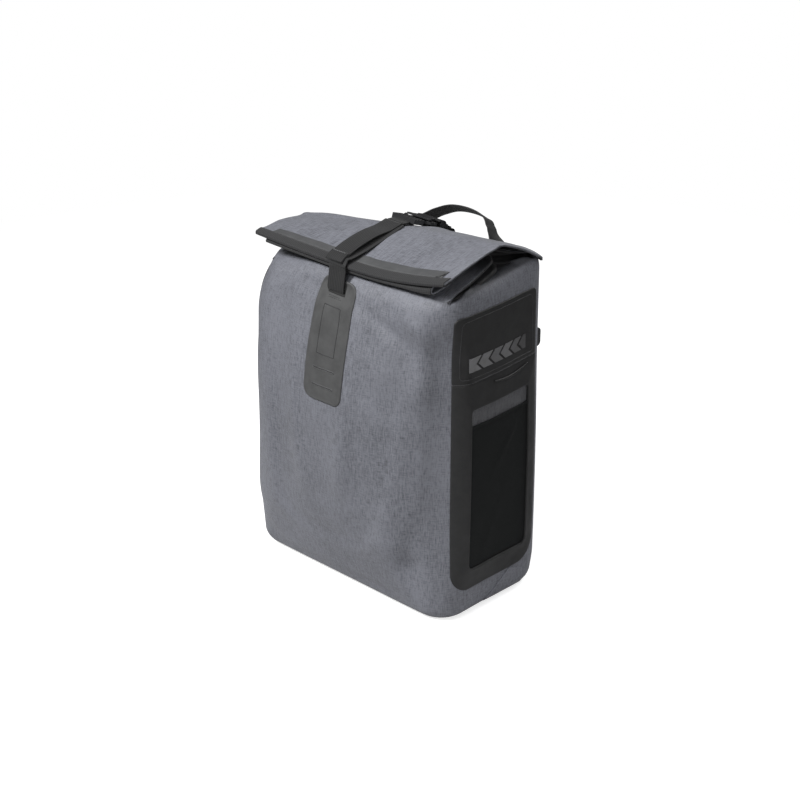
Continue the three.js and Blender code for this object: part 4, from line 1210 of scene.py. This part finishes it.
def reflective_marks(tag, place):
    """Six chevrons in a row pointing to the front; the first is square in front, the last is cut
    square behind."""
    # y of each tip, brightness of its film: its pale tone with painted reflection, lighter on the
    # front marks and darker towards the back
    marks = ((-50.5, 0.155), (-37.5, 0.145), (-19.0, 0.105), (-2.0, 0.13), (14.5, 0.085),
             (29.5, 0.06))
    gap, rise, cut = 3.6, 8.0, 42.0
    low, high = 306.5, 322.6
    mid = (low + high) / 2
    for k, (y0, tone_with_painted_reflection) in enumerate(marks):
        first, last = k == 0, k == len(marks) - 1
        front = [(y0, high)] if first else [(y0, mid), (y0 + rise, high)]
        if last:
            back = [(cut, high), (cut, low)]
        else:
            y1 = marks[k + 1][0] - gap
            back = [(y1 + rise, high), (y1, mid), (y1 + rise, low)]
        end = [(y0, low)] if first else [(y0 + rise, low)]
        fine = subdivide(front + back + end, 6)
        m = len(fine)
        s = side_s(fine[:, 0])
        points = np.concatenate([place(s, fine[:, 1], 2.0), place(s, fine[:, 1], 1.2)])
        faces = [tuple(range(m)), tuple(range(m, 2 * m))[::-1]]
        faces += [(i, m + i, m + (i + 1) % m, (i + 1) % m) for i in range(m)]
        # each mark gets its own copy of the film at its own brightness: painted reflection
        obj = face_outwards(mesh(f"reflective_mark_{tag}_{k + 1}", points, faces,
                                 np.concatenate([fine, fine]) * MM,
                                 film(f"film_{tag}_{k}", tone_with_painted_reflection), smooth=False))
        enlist(obj, replaces=(f"reflector_{tag}",) if first else ())


def side(tag, sign):
    def place(s, z, height):
        return on_body(sign * s, z, height)

    flip = sign < 0
    side_panels(tag, place, flip)
    pocket_lining(tag, place, flip)
    base_fold(tag, place)
    pocket_cloth(tag, place, flip)
    reflective_marks(tag, place)


# ---------------------------------------------------------------- straps
STRAP_HALF = 12.5
ACROSS = np.array([1.0, 0, 0])
HINGE_MID = np.array([0, HINGE[1], HINGE[2]])
ROLL_ALONG = np.array([0, -96, -19.0]) / 97.86      # from the hinge down the roll to the front
ROLL_UP = np.array([0, -0.194, 0.981])
BACK_SLOPE = math.atan2(-27, 76)                    # from the ridge down to the back shoulder
BUCKLE_ALONG = np.array([0, math.cos(BACK_SLOPE), math.sin(BACK_SLOPE)])
BUCKLE_UP = np.array([0, -math.sin(BACK_SLOPE), math.cos(BACK_SLOPE)])


def roll_point(distance, height, x=0.0):
    return HINGE_MID + ROLL_ALONG * distance + ROLL_UP * height + (x, 0, 0)


def buckle_point(distance, height):
    return HINGE_MID + BUCKLE_ALONG * distance + BUCKLE_UP * height


def closure_strap():
    """From the patch's slot up the front, round the roll's edge and back to the buckle."""
    rise = [(1, -87.5, 366.6), (1, -91.8, 368.0), (1, -95.0, 371.0), (1, -94.2, 380),
            (1, -92.6, 389), (1.4, -91.8, 396), (1.8, -92.6, 401.0)]
    # over the roll: distance from the hinge, height, x
    over = ((96.2, 5.2, 1), (90, 4.6, 2), (78, 3.9, 2.5), (60, 3.6, 3), (40, 3.4, 2.5),
            (20, 3.2, 1.5), (9, 3.0, 0))
    path = catmull(rise + [tuple(roll_point(*p)) for p in over], 90)
    obj = ribbon("closure_webbing", path, ACROSS, STRAP_HALF, 1.6, WEBBING)
    enlist(obj, None, ("strap_drop", "closure_strap"))
    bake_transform(obj)


def strap_tail():
    """The loose tail above the closure strap, its hem and stitches."""
    x = -3.0
    stations = ((103.0, 3.4), (97, 6.0), (86, 8.2), (66, 9.6), (44, 8.6), (24, 5.2), (7, 4.7))
    path = catmull([roll_point(d, h, x) for d, h in stations], 60)
    obj = ribbon("tail_webbing", path, ACROSS + (0, 0.02, 0), STRAP_HALF, 1.6, WEBBING)
    enlist(obj, "strap_upper", ("strap_tail",))
    path = catmull([roll_point(d, h, x) for d, h in ((103.2, 4.9), (97, 7.6), (90.5, 9.2))], 14)
    obj = ribbon("tail_hem", path, ACROSS, STRAP_HALF - 0.3, 1.5, WEBBING)
    enlist(obj, "strap_upper")
    row = [roll_point(92.0, 9.9, x + dx) for dx in np.linspace(-10, 10, 8)]
    stitches("tail_stitches", row, ROLL_UP, THREAD_PALE, 1.7, 0.3, "strap_upper")


def buckle_straps():
    """The loop through the buckle's male half, and the strap from the back to its female half."""
    turn = [buckle_point(d, h) for d, h in (
        (2.2, 1.7), (6.0, 1.5), (9.2, 2.0), (11.2, 4.2), (10.6, 6.6), (8.0, 7.2), (6.0, 5.2),
        (3.0, 3.6))]
    loop = catmull([roll_point(9, 3.0), roll_point(3, 3.0)] + turn + [roll_point(6, 4.7)], 60)
    obj = ribbon("ladder_webbing", loop + (-1.0, 0, 0), ACROSS, STRAP_HALF - 0.2, 1.4, WEBBING)
    enlist(obj, "male_half")

    y = HALF_D + 1.4
    rise = [(0, y, 337), (0, y, 350), (0, y, 368), (0, HALF_D + 1.5, 381),
            (0, HALF_D + 0.6, 388.5)]
    turn = [tuple(buckle_point(d, h)) for d, h in (
        (80, 1.3), (72, 1.5), (64.5, 1.6), (60.8, 3.2), (59.3, 6.0), (57.6, 8.6), (61.5, 9.0),
        (66, 5.2), (74, 3.6))]
    obj = ribbon("rear_webbing", catmull(rise + turn, 110), ACROSS, STRAP_HALF, 1.4, WEBBING)
    enlist(obj, None, ("rear_strap", "rear_strap_loop"))
    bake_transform(obj)
    box_stitch("rear_box_stitch", 0, 340, 360, HALF_D + 2.1, 9)


def box_stitch(name, x, z0, z1, y, half):
    """A stitched box with one diagonal, facing the back."""
    corners = [(x - half, y, z0), (x + half, y, z0), (x + half, y, z1), (x - half, y, z1),
               (x - half, y, z0), (x + half, y, z1)]
    stitches(name, subdivide(corners, 12, closed=False), (0, 1, 0), THREAD_PALE, 1.8, 0.3)


def carry_handle():
    """The handle behind the top, with an end sewn to the back on each side."""
    path = np.array([
        (-64, 88.2, 378), (-64.5, 89.4, 384.5), (-58, 91.5, 387), (-46, 94, 389.5),
        (-35, 95, 396), (-20, 95, 405), (3.1, 95, 415.1), (28.9, 95, 418.3), (49.4, 95, 415.2),
        (57.7, 94.6, 407.0), (62.8, 93, 399.3), (73, 90.4, 386), (74, 88.2, 378)], float)
    t = np.linspace(0, 1, 150)
    # the width lies along x at the ends and twists over in between
    twist = ease(0.04, 0.2, t) * (1 - ease(0.80, 0.985, t))
    across = np.stack([(1 - twist) + 0.12 * twist, 0.78 * twist, -0.61 * twist], -1)
    obj = ribbon("handle_webbing", catmull(path, 150), across, 9.2, 1.7, WEBBING)
    enlist(obj, None, ("carry_handle",))
    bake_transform(obj)
    for tag, x in (("left", -64.0), ("right", 74.0)):
        line = catmull([(x, HALF_D + 1.4, 346), (x, HALF_D + 1.5, 360), (x, HALF_D + 1.8, 371),
                        (x, HALF_D + 3.0, 378.5)], 30)
        obj = ribbon(f"handle_end_{tag}", line, ACROSS, 11.2, 1.9, WEBBING)
        enlist(obj, replaces=(f"handle_anchor_{tag}",))
        box_stitch(f"handle_box_stitch_{tag}", x, 349, 366, HALF_D + 2.35, 8)


# ---------------------------------------------------------------- hard parts
STEEL_PREFIXES = ("rail_screw", "latch_pin", "latch_spring", "clamp_screw", "lower_screw",
                  "stabiliser_bolt")
HARD_PARTS = {
    PLASTIC: ["buckle_male", "buckle_prong_right", "buckle_prong_left", "buckle_female",
              "rail_cap_right", "rail_cap_left", "hook_right", "hook_left", "latch_right",
              "latch_left", "lower_rail", "stabiliser_slider", "stabiliser_arm"],
    ALUMINIUM: ["upper_rail", "upper_nut_strip", "lower_nut_strip"],
    STEEL: [name for name in frame["nodes"] if name.startswith(STEEL_PREFIXES)],
    BLACK: ["base_board", "back_board"],
}


def finish_hard_parts():
    """Hard parts keep their CAD shape; plastic and aluminium get rounded edges."""
    for material, names in HARD_PARTS.items():
        for name in names:
            obj = frame["nodes"][name]
            obj.data.materials.clear()
            obj.data.materials.append(material)
            if material in (PLASTIC, ALUMINIUM):
                bevel = obj.modifiers.new("edge", "BEVEL")
                bevel.width = 0.0005
                bevel.segments = 2
                bevel.limit_method = "ANGLE"
                bevel.angle_limit = math.radians(32)


# ---------------------------------------------------------------- stage
def floor_material():
    """Pale paper that fades into the white surround; its glow is seen by the camera only."""
    n = Surface("floor")
    place = n.add("TexCoord").outputs["Object"]
    far = n.add("VectorMath", {0: place}, operation="LENGTH").outputs["Value"]
    fade = n.add("MapRange", {"Value": far, "From Min": 0.35, "From Max": 1.3}).outputs[0]
    colour = n.ramp(fade, (0.56, 0.56, 0.565), 0.0)
    specular = n.ramp(fade, 0.0, 0.0)
    seen = n.add("LightPath").outputs["Is Camera Ray"]
    glow = n.math("ADD", n.math("MULTIPLY", fade, 0.28), 0.72)
    return n.finish({
        "Base Color": colour, "Specular IOR Level": specular, "Emission Color": (1, 1, 1, 1),
        "Emission Strength": n.math("MULTIPLY", seen, glow), "Roughness": 0.9})


def surroundings():
    """The floor, and a world that is white to the camera but lights the bag only faintly."""
    reach, z = 6000, -0.3
    corners = [(-reach, -reach, z), (reach, -reach, z), (reach, reach, z), (-reach, reach, z)]
    mesh("floor", corners, [(0, 1, 2, 3)], None, floor_material())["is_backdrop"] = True
    ambient = 0.13
    world = bpy.data.worlds.new("w")
    world.use_nodes = True
    n = Nodes(world.node_tree)
    seen = n.add("LightPath").outputs["Is Camera Ray"]
    strength = n.math("ADD", n.math("MULTIPLY", seen, 1 - ambient), ambient)
    n.feed(world.node_tree.nodes["Background"], {0: (1, 1, 1, 1), 1: strength})
    bpy.context.scene.world = world


def area(name, location, target, size, power):
    light = bpy.data.lights.new(name, "AREA")
    light.shape = "DISK"
    light.size = size
    light.energy = power
    obj = bpy.data.objects.new(name, light)
    bpy.context.scene.collection.objects.link(obj)
    obj.location = location
    aim = Vector(target) - Vector(location)
    obj.rotation_euler = aim.to_track_quat("-Z", "Y").to_euler()


def lights():
    area("key", location=(-0.52, -1.43, 1.78), target=(0, 0, 0.2), size=0.6, power=60)
    area("fill", location=(2.2, -0.7, 1.0), target=(0, 0, 0.2), size=1.6, power=15)
    area("kick", location=(0.35, -0.85, 1.15), target=(0.08, -0.08, 0.36), size=0.3, power=3.2)
    area("back", location=(0.4, 1.9, 1.9), target=(0, 0, 0.25), size=1.6, power=40)


def camera():
    """From the front right and above."""
    azimuth, elevation, distance = math.radians(43.6), math.radians(26.1), 2.325
    target = Vector((0, 0, 0.19))
    away = Vector((math.sin(azimuth) * math.cos(elevation),
                   -math.cos(azimuth) * math.cos(elevation), math.sin(elevation)))
    cam = bpy.data.cameras.new("cam")
    obj = bpy.data.objects.new("cam", cam)
    bpy.context.scene.collection.objects.link(obj)
    obj.location = target + away * distance
    obj.rotation_euler = away.to_track_quat("Z", "Y").to_euler()
    cam.sensor_width = 36
    cam.lens = 90.45
    cam.shift_x = 0.00575
    cam.shift_y = 0.014375
    bpy.context.scene.camera = obj
    bpy.context.scene.view_settings.view_transform = "Standard"


# ---------------------------------------------------------------- build
simulate_sag()
body_shell()
base_pieces()
back_pieces()
top_sheet()
upper_lip()
lower_lip()
front_patch()
side("right", 1.0)
side("left", -1.0)
closure_strap()
strap_tail()
buckle_straps()
carry_handle()
finish_hard_parts()
surroundings()
lights()
camera()

as_list = lambda v: [list(map(float, c)) for c in v]
{"cad": as_list(cad_box), "visual": as_list(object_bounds())}
